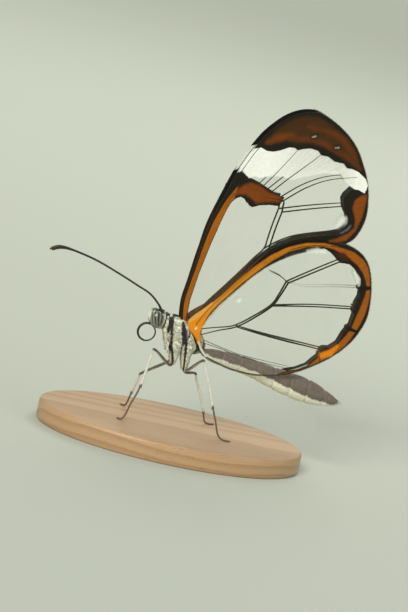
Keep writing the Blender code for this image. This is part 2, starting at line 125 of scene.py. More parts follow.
def smooth_line(points: Sequence[Sequence[float]], spacing: float, closed: bool = False) -> Array:
    """Points at nearly equal distances along the smooth line through the given ones.

    Args:
        points: places the line passes through, each of any number of values.
        spacing: distance between neighbours.
        closed: whether the line comes back to its start.

    Returns:
        One row a point; a closed line doesn't repeat its first one.
    """
    given = np.asarray(points, float)
    count = len(given)
    spans = count if closed else count - 1
    fine = []
    for i in range(spans):
        if closed:
            p0, p1, p2, p3 = (given[(i + k) % count] for k in (-1, 0, 1, 2))
        else:
            p0, p1, p2, p3 = (given[min(max(i + k, 0), count - 1)] for k in (-1, 0, 1, 2))
        t = np.linspace(0, 1, 24, endpoint=False)[:, None]
        bend = (2 * p0 - 5 * p1 + 4 * p2 - p3) * t**2 + (3 * p1 - p0 - 3 * p2 + p3) * t**3
        fine.append(0.5 * (2 * p1 + (p2 - p0) * t + bend))
    line = np.vstack([*fine, given[:1] if closed else given[-1:]])
    reach = np.concatenate([[0.0], np.cumsum(np.linalg.norm(np.diff(line[:, :3], axis=0), axis=1))])
    pieces = max(2, round(reach[-1] / spacing))
    stops = np.linspace(0, reach[-1], pieces + 1)
    if closed:
        stops = stops[:-1]
    return np.stack([np.interp(stops, reach, line[:, k]) for k in range(line.shape[1])], axis=1)


def line_distance(spots: Array, line: Sequence[Sequence[float]]) -> Array:
    """Distance from flat spots to a line of straight pieces.

    Args:
        spots: one (x, z) row a spot.
        line: (x, z) places, or (x, z, half width) for a line of changing width.

    Returns:
        One distance a spot, less the half width where there is one.
    """
    row = np.asarray(line, float)
    best = np.full(len(spots), np.inf)
    for a, b in zip(row, row[1:]):
        way = b[:2] - a[:2]
        length = max(float(np.hypot(*way)), 1e-9)
        part = np.clip((spots - a[:2]) @ way / length**2, 0, 1)
        away = np.hypot(*(spots - a[:2] - part[:, None] * way).T)
        if row.shape[1] > 2:
            away = away - (a[2] + (b[2] - a[2]) * part)
        best = np.minimum(best, away)
    return best


def inside(spots: Array, outline: Array) -> Array:
    """Whether each flat spot lies within a closed outline.

    Args:
        spots: one (x, z) row a spot.
        outline: the outline's corners.

    Returns:
        One truth value a spot.
    """
    result = np.zeros(len(spots), bool)
    x, z = spots.T
    for (x1, z1), (x2, z2) in zip(outline, np.roll(outline, -1, axis=0)):
        if z1 == z2:
            continue
        crosses = (z1 > z) != (z2 > z)
        result ^= crosses & (x < x1 + (z - z1) * (x2 - x1) / (z2 - z1))
    return result


def depth_inside(spots: Array, outline: Sequence[Flat]) -> Array:
    """How far each flat spot lies within a closed outline, and below zero outside it.

    Args:
        spots: one (x, z) row a spot.
        outline: the outline's corners.

    Returns:
        One distance a spot.
    """
    rim = np.asarray(outline, float)
    away = line_distance(spots, np.vstack([rim, rim[:1]]))
    return np.where(inside(spots, rim), away, -away)


def banded(flat: Array, lines: Sequence[Stroke]) -> Array:
    """How far flat places lie within the nearest of some lines of changing half width.

    Args:
        flat: (x, z) rows.
        lines: each line's places and half widths.

    Returns:
        One distance a place.
    """
    result = np.full(len(flat), -FAR)
    for line in lines:
        result = np.maximum(result, -line_distance(flat, line))
    return result


def tube_faces(rows: int, sides: int) -> Array:
    """Triangles of a closed tube of rings.

    Args:
        rows: how many rings.
        sides: points of a ring.

    Returns:
        Rows of three point numbers, with the middles of the two ends counted after all rings.
    """
    k = np.arange(sides)
    after = (k + 1) % sides
    faces = []
    for low in range(0, (rows - 1) * sides, sides):
        high = low + sides
        faces.append(np.stack([low + k, low + after, high + after], axis=1))
        faces.append(np.stack([low + k, high + after, high + k], axis=1))
    first = np.full(sides, rows * sides)
    top = (rows - 1) * sides
    faces.append(np.stack([first, after, k], axis=1))
    faces.append(np.stack([first + 1, top + k, top + after], axis=1))
    return np.vstack(faces)


def rod(line: Array, radii: Array, sides: int) -> tuple[Array, Array, Array]:
    """A closed round rod of changing radius along a line.

    Args:
        line: (x, y, z) rows.
        radii: one radius a row.
        sides: corners of its cross-section.

    Returns:
        Points, triangles, and the row of the line that each point belongs to.
    """
    ways = np.gradient(line, axis=0)
    ways /= np.maximum(np.linalg.norm(ways, axis=1, keepdims=True), 1e-9)
    across = np.cross(ways[0], (0.31, 0.9, 0.2))
    across /= np.linalg.norm(across)
    turns = np.linspace(0, 2 * math.pi, sides, endpoint=False)
    rings = []
    for place, way, radius in zip(line, ways, radii):
        across = across - way * (across @ way)
        across /= np.linalg.norm(across)
        other = np.cross(way, across)
        rings.append(place + radius * (np.outer(np.cos(turns), across) + np.outer(np.sin(turns), other)))
    points = np.vstack([*rings, line[:1], line[-1:]])
    rows = len(line)
    owner = np.concatenate([np.repeat(np.arange(rows), sides), [0, rows - 1]])
    return points, tube_faces(rows, sides), owner


def egg(centre: Sequence[float], radii: Sequence[float], turns: int = 28,
        rings: int = 18) -> tuple[Array, Array]:
    """Points and triangles of a closed ellipsoid whose poles lie along y.

    Args:
        centre: its centre.
        radii: its radii along x, y and z.
        turns: points of a ring.
        rings: bands from pole to pole.

    Returns:
        Its points and triangles.
    """
    angles = np.linspace(0, math.pi, rings + 1)[1:-1]
    around = np.linspace(0, 2 * math.pi, turns, endpoint=False)
    ring = np.stack([np.cos(around), np.zeros(turns), np.sin(around)], axis=1)
    rows = [ring * math.sin(a) + np.array([0, math.cos(a), 0]) for a in angles]
    points = np.vstack([*rows, [[0, 1, 0]], [[0, -1, 0]]]) * radii + centre
    return points, tube_faces(len(rows), turns)[:, ::-1]


def loft(rings: Array) -> tuple[Array, Array]:
    """Points and triangles of a closed skin through rings of equal count.

    Args:
        rings: the rings' points, ring by ring.

    Returns:
        Its points and triangles.
    """
    rows, sides, _ = rings.shape
    points = np.vstack([rings.reshape(-1, 3), rings[0].mean(axis=0), rings[-1].mean(axis=0)])
    return points, tube_faces(rows, sides)


def new_mesh(name: str, points: Array, faces: Array) -> bpy.types.Mesh:
    """A smooth mesh of points and faces."""
    mesh = bpy.data.meshes.new(name)
    mesh.from_pydata(points.tolist(), [], faces.tolist())
    mesh.polygons.foreach_set("use_smooth", np.ones(len(faces), bool))
    return mesh


def new_item(name: str, data: bpy.types.ID) -> bpy.types.Object:
    """An object of a mesh, lamp or camera, in the scene."""
    item = bpy.data.objects.new(name, data)
    bpy.context.scene.collection.objects.link(item)
    return item


def triples(items: bpy.types.bpy_prop_collection, name: str, kind: type) -> Array:
    """One row of three numbers for each of a mesh's points or triangles.

    Args:
        items: the mesh's points or triangles.
        name: what is read of each.
        kind: the numbers' type.

    Returns:
        The rows.
    """
    values = np.zeros(len(items) * 3, kind)
    items.foreach_get(name, values)
    return values.reshape(-1, 3)


class Draft:
    """Collects points, triangles and point values, and makes one mesh piece of them."""

    def __init__(self) -> None:
        """Starts empty."""
        self.points: list[Array] = []
        self.faces: list[Array] = []
        self.finish: list[Array] = []
        self.values: dict[str, list[Array]] = {}
        self.map: list[Array] = []
        self.count = 0

    def add(self, points: Array, faces: Array, finish: int = 0,
            spots: Array | None = None, **values: Array | float) -> "Draft":
        """Adds one form.

        Args:
            points: its (x, y, z) rows in millimetres.
            faces: its triangles, counted from its own first point.
            finish: which of the piece's finishes it takes.
            spots: each point's place on the bake map, if the piece has one.
            values: named point values, as arrays or one number for all.

        Returns:
            The draft itself.
        """
        size = len(points)
        for name in sorted({*self.values, *values}):
            column = self.values.setdefault(name, [np.zeros(self.count)] if self.count else [])
            value = values.get(name, 0.0)
            column.append(np.broadcast_to(np.asarray(value, float), (size,)))
        self.points.append(points)
        self.faces.append(faces + self.count)
        self.finish.append(np.full(len(faces), finish))
        if spots is not None:
            self.map.append(spots)
        self.count += size
        return self

    def build(self, name: str, finishes: Sequence[Material], slot: str,
              *nodes: str) -> bpy.types.Object:
        """Makes the mesh piece, in metres, and fixes it to the body.

        Args:
            name: the piece's name.
            finishes: its materials.
            slot: the record's material slot; not used.
            nodes: the solids' nodes that it stands for.

        Returns:
            The piece.
        """
        points = (np.vstack(self.points) + (CENTRE_SHIFT, 0, 0)) * MM
        faces = np.vstack(self.faces)
        mesh = new_mesh(name, points, faces)
        mesh.polygons.foreach_set("material_index", np.concatenate(self.finish).astype(np.int32))
        for key, columns in self.values.items():
            attribute = mesh.attributes.new(key, "FLOAT", "POINT")
            attribute.data.foreach_set("value", np.concatenate(columns).astype(np.float32))
        if self.map:
            spots = np.vstack(self.map)[faces.ravel()]
            layer = mesh.uv_layers.new(name=COAT_MAP)
            layer.data.foreach_set("uv", spots.astype(np.float32).ravel())
        for finish in finishes:
            mesh.materials.append(finish)
        mesh.update()
        piece = new_item(name, mesh)
        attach(piece, BODY)
        if nodes:
            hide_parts(*nodes)
        LOG.info("%s: %d triangles", name, len(faces))
        return piece


Socket = bpy.types.NodeSocket
Value = Socket | float | Colour


class NodeSheet:
    """A material's node tree, with short calls for the nodes that the finishes share."""

    def __init__(self, name: str) -> None:
        """Makes the material and keeps its Principled shader at hand."""
        self.material = bpy.data.materials.new(name)
        self.material.use_nodes = True
        self.tree = self.material.node_tree
        self.shader = self.tree.nodes["Principled BSDF"]
        self.place = self.tree.nodes.new("ShaderNodeTexCoord").outputs["Object"]

    def feed(self, socket: Socket, value: Value) -> None:
        """Links a socket to another one, or sets its plain value."""
        if isinstance(value, Socket):
            self.tree.links.new(value, socket)
        elif isinstance(value, tuple):
            socket.default_value = (*value, 1.0) if socket.type == "RGBA" else value
        else:
            socket.default_value = value

    def shade(self, **values: Value) -> None:
        """Feeds the Principled shader's sockets, with _ for each space in a name."""
        for name, value in values.items():
            self.feed(self.shader.inputs[name.replace("_", " ")], value)

    def field(self, name: str) -> Socket:
        """A named point value of the mesh."""
        node = self.tree.nodes.new("ShaderNodeAttribute")
        node.attribute_name = name
        return node.outputs["Fac"]

    def math(self, operation: str, first: Value, second: Value = 0.0) -> Socket:
        """The result of one operation on two values."""
        node = self.tree.nodes.new("ShaderNodeMath")
        node.operation = operation
        self.feed(node.inputs[0], first)
        self.feed(node.inputs[1], second)
        return node.outputs[0]

    def plus(self, first: Value, second: Value) -> Socket:
        """The sum of two values."""
        return self.math("ADD", first, second)

    def minus(self, first: Value, second: Value) -> Socket:
        """The first value less the second."""
        return self.math("SUBTRACT", first, second)

    def times(self, first: Value, second: Value) -> Socket:
        """The product of two values."""
        return self.math("MULTIPLY", first, second)

    def combine(self, x: Value, y: Value, z: Value = 0.0) -> Socket:
        """A vector of three values."""
        node = self.tree.nodes.new("ShaderNodeCombineXYZ")
        for socket, value in zip(node.inputs, (x, y, z)):
            self.feed(socket, value)
        return node.outputs[0]

    def axis(self, name: str) -> Socket:
        """The place on the object along one axis, in metres."""
        node = self.tree.nodes.new("ShaderNodeSeparateXYZ")
        self.feed(node.inputs[0], self.place)
        return node.outputs[name]

    def stretched(self, x: float, y: float, z: float) -> Socket:
        """The place on the object in millimetres, scaled along each axis."""
        node = self.tree.nodes.new("ShaderNodeVectorMath")
        node.operation = "MULTIPLY"
        self.feed(node.inputs[0], self.place)
        node.inputs[1].default_value = (x / MM, y / MM, z / MM)
        return node.outputs[0]

    def texture(self, kind: str, size: float, place: Socket | None) -> bpy.types.ShaderNode:
        """A pattern about size millimetres across on the object, or size units of a given place.

        Args:
            kind: the node's type.
            size: the pattern's size.
            place: where it is read, or None for the object's own place.

        Returns:
            The node.
        """
        node = self.tree.nodes.new(kind)
        self.feed(node.inputs["Vector"], self.place if place is None else place)
        node.inputs["Scale"].default_value = 1 / (size * MM) if place is None else 1 / size
        return node

    def noise(self, size: float, detail: float = 3.0, place: Socket | None = None) -> Socket:
        """Soft lumps, from 0 to 1."""
        node = self.texture("ShaderNodeTexNoise", size, place)
        node.inputs["Detail"].default_value = detail
        return node.outputs["Fac"]

    def cells(self, size: float, place: Socket | None = None) -> Socket:
        """Distance from the middles of rounded cells."""
        return self.texture("ShaderNodeTexVoronoi", size, place).outputs["Distance"]

    def mask(self, value: Value, low: float, high: float) -> Socket:
        """A smooth step from 0 at low to 1 at high.

        Args:
            value: what is compared.
            low: where the step starts.
            high: where it ends.

        Returns:
            The share.
        """
        node = self.tree.nodes.new("ShaderNodeMapRange")
        node.interpolation_type = "SMOOTHSTEP"
        self.feed(node.inputs["Value"], value)
        node.inputs["From Min"].default_value = low
        node.inputs["From Max"].default_value = high
        return node.outputs["Result"]

    def tint(self, share: Value, first: Value, second: Value) -> Socket:
        """Mixes two colours."""
        node = self.tree.nodes.new("ShaderNodeMix")
        node.data_type = "RGBA"
        for index, value in ((0, share), (6, first), (7, second)):
            self.feed(node.inputs[index], value)
        return node.outputs[2]

    def blend(self, share: Value, first: Value, second: Value) -> Socket:
        """Mixes two numbers."""
        node = self.tree.nodes.new("ShaderNodeMix")
        for index, value in ((0, share), (2, first), (3, second)):
            self.feed(node.inputs[index], value)
        return node.outputs[0]

    def bump(self, height: Value, depth: float, strength: float = 1.0) -> None:
        """Gives the shader a relief of depth millimetres.

        Args:
            height: the relief, from 0 to 1.
            depth: its depth.
            strength: how strongly it shows.
        """
        node = self.tree.nodes.new("ShaderNodeBump")
        node.inputs["Strength"].default_value = strength
        node.inputs["Distance"].default_value = depth * MM
        self.feed(node.inputs["Height"], height)
        self.feed(self.shader.inputs["Normal"], node.outputs["Normal"])


@dataclass(frozen=True)
class Layer:
    """One marking of a wing: where a named distance passes from start to end.

    The two under colours are mixed on the underside; wobble roughens the edge by that many
    millimetres, streak thins the scales, and limit names a density that they follow.
    """

    field: str
    start: float
    end: float
    under: Display
    under_too: Display
    upper: Display
    wobble: float = 0.05
    streak: float = 0.0
    cover: float = 1.0
    limit: str | None = None


@dataclass(frozen=True)
class WingFinish:
    """A clear membrane with its markings laid over it, scale by scale."""

    name: str
    layers: tuple[Layer, ...]
    film: Colour = seen(176, 180, 160)
    film_cover: float = 0.026
    film_roughness: float = 0.2
    veil_size: float = 2.6
    tone_size: float = 0.9
    scale_dark: Colour = seen(20, 15, 8)
    scale_roughness: float = 0.58
    scale_size: float = 0.085
    scale_relief: float = 0.007
    streak_size: float = 0.22
    streak_reach: float = 3.2

    def presence(self, sheet: NodeSheet, layer: Layer, jitter: Socket, streaks: Socket) -> Socket:
        """How far each place belongs to a marking.

        Args:
            sheet: the material's nodes.
            layer: the marking.
            jitter: what roughens its edge, about zero.
            streaks: where the scales lie thick, from 0 to 1.

        Returns:
            A share from 0 to 1.
        """
        near = sheet.plus(sheet.field(layer.field), sheet.times(jitter, layer.wobble * 2))
        mask = sheet.mask(near, layer.start, layer.end)
        thin: Value = 1 - layer.streak
        if layer.limit:
            density = sheet.field(layer.limit)
            mask = sheet.times(mask, density)
            thin = sheet.blend(sheet.mask(density, 0.35, 0.9), thin, 0.97)
        if layer.streak:
            mask = sheet.times(mask, sheet.blend(streaks, thin, 1.0))
        return mask

    def make(self, face: Face) -> Material:
        """Makes the material of one face of the wing.

        Args:
            face: the underside, with its warm colours, or the darker upper side.

        Returns:
            The material.
        """
        sheet = NodeSheet(f"{self.name}_{face.name.lower()}")
        jitter = sheet.minus(sheet.noise(self.scale_size * 1.6, 2.0), 0.5)
        fan = sheet.combine(sheet.math("DIVIDE", sheet.field("fan"), self.streak_size),
                            sheet.math("DIVIDE", sheet.field("reach"), self.streak_reach))
        streaks = sheet.mask(sheet.noise(1.0, 2.0, fan), 0.3, 0.68)
        tone = sheet.blend(0.55, streaks, sheet.noise(self.tone_size, 4.0))
        veil = sheet.mask(sheet.noise(self.veil_size, 3.0), 0.35, 0.8)
        colour: Value = self.film
        cover: Value = sheet.blend(veil, self.film_cover * 0.6, self.film_cover * 1.5)
        for layer in self.layers:
            mask = self.presence(sheet, layer, jitter, streaks)
            first, second = (layer.under, layer.under_too) if face is Face.UNDER else (layer.upper,) * 2
            cover = sheet.blend(mask, cover, layer.cover)
            share = sheet.math("DIVIDE", sheet.times(mask, layer.cover), cover)
            colour = sheet.tint(sheet.math("MINIMUM", share, 1.0), colour,
                                sheet.tint(tone, seen(*first), seen(*second)))
        rows = sheet.cells(self.scale_size, sheet.stretched(1.0, 1.0, 0.55))
        speck = sheet.times(sheet.times(sheet.mask(rows, 0.1, 0.75), 0.22), cover)
        shaded = sheet.tint(speck, colour, sheet.tint(0.72, colour, self.scale_dark))
        sheet.shade(Base_Color=shaded, Alpha=cover, Specular_IOR_Level=0.16,
                    Roughness=sheet.blend(cover, self.film_roughness, self.scale_roughness))
        dense = sheet.mask(cover, 0.75, 1.0)
        sheet.bump(sheet.times(sheet.minus(1.0, rows), dense), self.scale_relief, 0.8)
        return sheet.material


@dataclass(frozen=True)
class VeinFinish:
    """Dark horn-like veins that turn reddish or golden where the markings do."""

    name: str
    dark: Colour = seen(36, 33, 18)
    red: Colour = seen(98, 62, 26)
    gold: Colour = seen(178, 108, 16)

    def make(self) -> Material:
        """Makes the material."""
        sheet = NodeSheet(self.name)
        patchy = sheet.times(sheet.field("red"), sheet.blend(0.4, 1.0, sheet.noise(0.5)))
        colour = sheet.tint(patchy, self.dark, self.red)
        colour = sheet.tint(sheet.field("gold"), colour, self.gold)
        sheet.shade(Base_Color=colour, Roughness=0.6, Specular_IOR_Level=0.12)
        sheet.bump(sheet.noise(0.06, 2.0), 0.01)
        return sheet.material


@dataclass(frozen=True)
class BodyFinish:
    """Scales and short hair in cream, ink, grey-brown and orange, by the body's markings, with a painted
    grey-blue highlight.
    """

    name: str
    cream: Colour = seen(244, 246, 224)
    cream_too: Colour = seen(214, 216, 188)
    ink: Colour = seen(24, 20, 13)
    ink_too: Colour = seen(52, 42, 32)
    grey: Colour = seen(122, 110, 98)
    grey_too: Colour = seen(94, 84, 72)
    orange: Colour = seen(226, 138, 16)
    # painted highlight: the grey-blue sheen laid as colour onto the black thorax stripe
    blue: Colour = seen(150, 160, 170)
    roughness: float = 0.62
    sheen: float = 0.25
    lump: float = 0.07

    def make(self) -> Material:
        """Makes the material."""
        sheet = NodeSheet(self.name)
        grain = sheet.noise(self.lump * 2, 3.0)
        broad = sheet.noise(0.7, 3.0)
        jitter = sheet.times(sheet.minus(grain, 0.5), 0.12)
        markings = (
            ("grey", -0.12, 0.14, sheet.tint(broad, self.grey, self.grey_too)),
            ("ink", -0.04, 0.05, sheet.tint(sheet.mask(grain, 0.4, 0.8), self.ink, self.ink_too)),
            ("orange", -0.06, 0.1, self.orange),
            # blue paints a highlight onto the black stripe
            ("blue", -0.08, 0.1, self.blue),
        )
        colour = sheet.tint(broad, self.cream, self.cream_too)
        for name, start, end, tone in markings:
            edge = sheet.mask(sheet.plus(sheet.field(name), jitter), start, end)
            colour = sheet.tint(edge, colour, tone)
        shadow = sheet.tint(0.55, colour, self.ink_too)
        colour = sheet.tint(sheet.times(sheet.field("shade"), 0.6), colour, shadow)
        sheet.shade(Base_Color=colour, Roughness=self.roughness, Specular_IOR_Level=0.35,
                    Sheen_Weight=self.sheen, Sheen_Roughness=0.4)
        sheet.bump(sheet.noise(self.lump, 3.0), 0.03, 0.9)
        return sheet.material


@dataclass(frozen=True)
class EyeFinish:
    """A faceted eye of grey-green with dark curved bands and a clear gloss."""

    name: str = "eye_facets"
    pale: Colour = seen(148, 152, 134)
    pale_too: Colour = seen(104, 110, 92)
    dark: Colour = seen(28, 30, 20)
    facet: float = 0.055

    def make(self) -> Material:
        """Makes the material."""
        sheet = NodeSheet(self.name)
        facets = sheet.cells(self.facet)
        colour = sheet.tint(sheet.noise(0.5), self.pale, self.pale_too)
        colour = sheet.tint(sheet.mask(sheet.field("band"), -0.05, 0.05), colour, self.dark)
        colour = sheet.tint(sheet.times(sheet.mask(facets, 0.4, 0.8), 0.45), colour, self.dark)
        sheet.shade(Base_Color=colour, Roughness=0.22, Specular_IOR_Level=0.55,
                    Coat_Weight=0.35, Coat_Roughness=0.1)
        sheet.bump(sheet.minus(1.0, facets), 0.01, 0.6)
        return sheet.material


@dataclass(frozen=True)
class HornFinish:
    """Dark cuticle with paler rings and scattered pale scales."""

    name: str
    dark: Colour = seen(30, 24, 18)
    ring: Colour = seen(88, 74, 54)
    tip: Colour = seen(58, 40, 22)
    roughness: float = 0.4

    def make(self) -> Material:
        """Makes the material."""
        sheet = NodeSheet(self.name)
        ring = sheet.times(sheet.field("ring"), sheet.blend(0.5, 0.6, sheet.noise(0.3)))
        colour = sheet.tint(sheet.field("tip"), self.dark, self.tip)
        colour = sheet.tint(ring, colour, self.ring)
        sheet.shade(Base_Color=colour, Roughness=self.roughness, Specular_IOR_Level=0.5)
        sheet.bump(sheet.noise(0.04, 2.0), 0.006)
        return sheet.material


@dataclass(frozen=True)
class LegFinish:
    """Legs in flat scales, whitish on the shins and grey-brown elsewhere."""

    name: str = "leg_scales_fine"
    pale: Colour = seen(240, 240, 224)
    pale_too: Colour = seen(200, 196, 174)
    dark: Colour = seen(66, 60, 48)
    dark_too: Colour = seen(110, 102, 86)

    def make(self) -> Material:
        """Makes the material."""
        sheet = NodeSheet(self.name)
        scales = sheet.noise(0.12, 3.0)
        speckled = sheet.plus(sheet.field("dark"), sheet.minus(scales, 0.5))
        share = sheet.mask(speckled, 0.08, 0.6)
        pale = sheet.tint(scales, self.pale, self.pale_too)
        dark = sheet.tint(scales, self.dark, self.dark_too)
        sheet.shade(Base_Color=sheet.tint(share, pale, dark), Roughness=0.55, Specular_IOR_Level=0.4)
        sheet.bump(sheet.cells(0.07), 0.012, 0.7)
        return sheet.material


@dataclass(frozen=True)
class WoodFinish:
    """Pale satin wood with long grain, growth lines and fine pores."""

    name: str = "stand_wood_satin"
    early: Colour = seen(196, 162, 122)
    late: Colour = seen(158, 118, 80)
    pore: Colour = seen(104, 74, 46)
    ring: float = 1.15
    heart_aside: float = 7.0
    heart_below: float = 26.0

    def make(self) -> Material:
        """Makes the material."""
        sheet = NodeSheet(self.name)
        heart = sheet.tree.nodes.new("ShaderNodeVectorMath")
        heart.operation = "LENGTH"
        aside = sheet.plus(sheet.axis("Y"), self.heart_aside * MM)
        above = sheet.plus(sheet.axis("Z"), self.heart_below * MM)
        sheet.feed(heart.inputs[0], sheet.combine(0.0, aside, above))
        bend = sheet.noise(1.0, 2.0, sheet.stretched(0.035, 0.12, 0.12))
        rings = sheet.math("DIVIDE", heart.outputs["Value"], self.ring * MM)
        growth = sheet.math("FRACT", sheet.plus(rings, sheet.times(bend, 1.6)))
        late = sheet.times(sheet.mask(growth, 0.25, 0.96), sheet.mask(growth, 1.0, 0.95))
        fibre = sheet.noise(1.0, 5.0, sheet.stretched(0.7, 9.0, 9.0))
        pores = sheet.mask(sheet.noise(1.0, 2.0, sheet.stretched(0.9, 12.0, 12.0)), 0.63, 0.72)
        colour: Value = self.early
        for share, amount, tone in ((late, 0.6, self.late), (bend, 0.3, self.late),
                                    (fibre, 0.3, self.late), (pores, 0.55, self.pore)):
            colour = sheet.tint(sheet.times(share, amount), colour, tone)
        sheet.shade(Base_Color=colour, Roughness=sheet.blend(fibre, 0.34, 0.52), Specular_IOR_Level=0.45,
                    Coat_Weight=0.15, Coat_Roughness=0.3)
        sheet.bump(sheet.minus(fibre, pores), 0.02, 0.5)
        return sheet.material


# where the wings meet the body in the side view
WING_HINGE: Flat = (-0.75, 14.9)


def wing_lean(x: Array, z: Array) -> Array:
    """How much further out a wing stands as it rises away from its hinge."""
    return 0.25 * step(np.hypot(x - WING_HINGE[0], z - WING_HINGE[1]), 3.0, 13.0)


@dataclass
class Wing:
    """One kind of wing: a thin bowed membrane with raised veins and a scaly fringe."""

    kind: str
    outline: Outline
    veins: tuple[Stroke, ...]
    finish: WingFinish
    grid: float = 0.115
    sheet_half: float = 0.03
    scale_half: float = 0.022
    quilt: float = 0.05
    vein_step: float = 0.16
    vein_sides: int = 8
    fringe_length: float = 0.13
    fringe_step: float = 0.055
    fringe_width: float = 0.05
    fringe_tuck: float = 0.06
    fringe_start: float = 2.5
    fringe_paleness: float = 0.25
    map_origin: Flat = (-3.0, 10.0)
    map_size: float = 70.0
    right_shift: Flat = (0.0, 0.0)
    leading_end: Flat = (7.4, 42.4)

    def depth(self, flat: Array) -> Array:
        """Distance of the sheet's middle from the middle plane, at flat places."""
        raise NotImplementedError

    def fields(self, flat: Array, rim: Array) -> dict[str, Array]:
        """The named distances that its markings follow.

        Args:
            flat: (x, z) rows.
            rim: each place's distance from the margin.

        Returns:
            Arrays above zero within each marking, and the two values that its streaks run by.
        """
        raise NotImplementedError

    def plan(self) -> None:
        """Splits the side view into fine triangles and works out its values."""
        rim = smooth_line(self.outline, self.grid, closed=True)
        low, high = rim.min(axis=0), rim.max(axis=0)
        row_step = self.grid * math.sqrt(0.75)
        rows = np.arange(low[1], high[1], row_step)
        spots = []
        for row, z in enumerate(rows):
            x = np.arange(low[0] + self.grid / 2 * (row % 2), high[0], self.grid)
            spots.append(np.stack([x, np.full(len(x), z)], axis=1))
        grid = np.vstack(spots)
        grid = grid[depth_inside(grid, rim) > 0.6 * self.grid]
        flat = np.vstack([rim, grid])
        ring = list(range(len(rim)))
        kept, _, faces, _, _, _ = delaunay_2d_cdt([Vector(p) for p in flat], [], [ring], 1, 1e-5)
        self.flat = np.array([tuple(v) for v in kept])
        self.faces = np.array(faces)
        a, b, c = (self.flat[self.faces[:, k]] for k in range(3))
        turn = (b[:, 0] - a[:, 0]) * (c[:, 1] - a[:, 1]) - (b[:, 1] - a[:, 1]) * (c[:, 0] - a[:, 0])
        self.faces[turn < 0] = self.faces[turn < 0][:, ::-1]
        away = line_distance(self.flat, np.vstack([rim, rim[:1]]))
        vein = np.full(len(self.flat), FAR)
        for line in self.veins:
            vein = np.minimum(vein, line_distance(self.flat, smooth_line(line, 0.3)[:, :2]))
        self.values = self.fields(self.flat, away)
        self.middle = self.depth(self.flat) - self.quilt * step(vein, 0.1, 1.1) * step(away, 0.1, 1.0)

    def sheet(self, draft: Draft, side: Side) -> None:
        """Adds the membrane: both faces and the narrow edge between them.

        Args:
            draft: what the form is added to.
            side: which wing of the pair.
        """
        sign = side.value
        half = self.sheet_half + self.scale_half * step(self.values["scaled"], -0.1, 0.1)
        x, z = self.flat.T
        outer = np.stack([x, sign * (self.middle + half), z], axis=1)
        inner = np.stack([x, sign * (self.middle - half), z], axis=1)
        self.shift(outer, side)
        self.shift(inner, side)
        size = len(self.flat)
        # anticlockwise in (x, z) faces -y
        faces = self.faces if side is Side.LEFT else self.faces[:, ::-1]
        spots = (self.flat - self.map_origin) / self.map_size
        draft.add(outer, faces, Face.UNDER.value, spots, **self.values)
        draft.add(inner, faces[:, ::-1], Face.UPPER.value, spots + (0.5, 0.0), **self.values)
        ends = np.concatenate([faces[:, [0, 1]], faces[:, [1, 2]], faces[:, [2, 0]]])
        key = np.sort(ends, axis=1) @ (size, 1)
        _, index, count = np.unique(key, return_inverse=True, return_counts=True)
        open_ends = ends[count[index.ravel()] == 1]
        a, b = open_ends.T
        band = np.vstack([np.stack([b, a, a + size], axis=1), np.stack([b, a + size, b + size], axis=1)])
        used, renumbered = np.unique(band, return_inverse=True)
        values = {name: value[used % size] for name, value in self.values.items()}
        draft.add(np.vstack([outer, inner])[used], renumbered.reshape(-1, 3), Face.UNDER.value,
                  spots[used % size], **values)

    def rods(self, draft: Draft, side: Side, finish: int) -> None:
        """Adds the veins as tapered rods set in the membrane.

        Args:
            draft: what the form is added to.
            side: which wing of the pair.
            finish: the veins' finish.
        """
        for line in self.veins:
            fine = smooth_line(line, self.vein_step)
            middle = self.depth(fine[:, :2])
            spine = np.stack([fine[:, 0], side.value * middle, fine[:, 1]], axis=1)
            points, faces, owner = rod(spine, fine[:, 2], self.vein_sides)
            red = self.redness(fine[:, :2])[owner]
            gold = self.gilding(fine[:, :2])[owner]
            spots = (points[:, [0, 2]] - self.map_origin) / self.map_size + (0.0, 0.5)
            self.shift(points, side)
            draft.add(points, faces, finish, spots, red=red, gold=gold)

    def redness(self, flat: Array) -> Array:
        """How reddish a vein is at flat places."""
        return np.zeros(len(flat))

    def gilding(self, flat: Array) -> Array:
        """How golden a vein is at flat places."""
        return np.zeros(len(flat))

    def shift(self, points: Array, side: Side) -> None:
        """Swings the right wing's points a little past the left wing's, away from the hinge."""
        if side is Side.RIGHT:
            away = np.hypot(points[:, 0] - WING_HINGE[0], points[:, 2] - WING_HINGE[1])
            points[:, [0, 2]] += np.outer(step(away, 0.5, 5.0), self.right_shift)

    def fringe(self, draft: Draft, side: Side) -> None:
        """Adds a short fringe of scales along the outer and rear margin.

        Args:
            draft: what the form is added to.
            side: which wing of the pair.
        """
        rng = np.random.default_rng(7)
        rim = smooth_line(self.outline, self.fringe_step, closed=True)
        along = np.subtract(self.leading_end, WING_HINGE)
        from_hinge = rim - WING_HINGE
        behind = along[0] * from_hinge[:, 1] < along[1] * from_hinge[:, 0]
        free = behind & (np.hypot(*from_hinge.T) > self.fringe_start)
        ways = np.roll(rim, -1, axis=0) - np.roll(rim, 1, axis=0)
        ways /= np.linalg.norm(ways, axis=1, keepdims=True)
        area = np.sum(rim[:, 0] * np.roll(rim[:, 1], -1) - np.roll(rim[:, 0], -1) * rim[:, 1])
        out = np.stack([ways[:, 1], -ways[:, 0]], axis=1) * (1 if area > 0 else -1)
        rim, ways, out = rim[free], ways[free], out[free]
        count = len(rim)
        length = self.fringe_length * rng.uniform(0.55, 1.0, count)
        skew = rng.normal(0, 0.25, count)
        lift = rng.normal(0, 0.012, count)
        middle = self.depth(rim)
        root = rim - out * self.fringe_tuck
        tip = rim + (out + ways * skew[:, None]) * length[:, None]
        half = ways * self.fringe_width / 2
        corners = (
            (root - half, middle - 0.018), (root + half, middle - 0.018), (root, middle + 0.022),
            (tip - half * 0.7, middle + lift), (tip + half * 0.7, middle + lift),
            (tip, middle + lift + 0.012),
        )
        points = np.stack([
            np.stack([flat[:, 0], side.value * y, flat[:, 1]], axis=1) for flat, y in corners], axis=1)
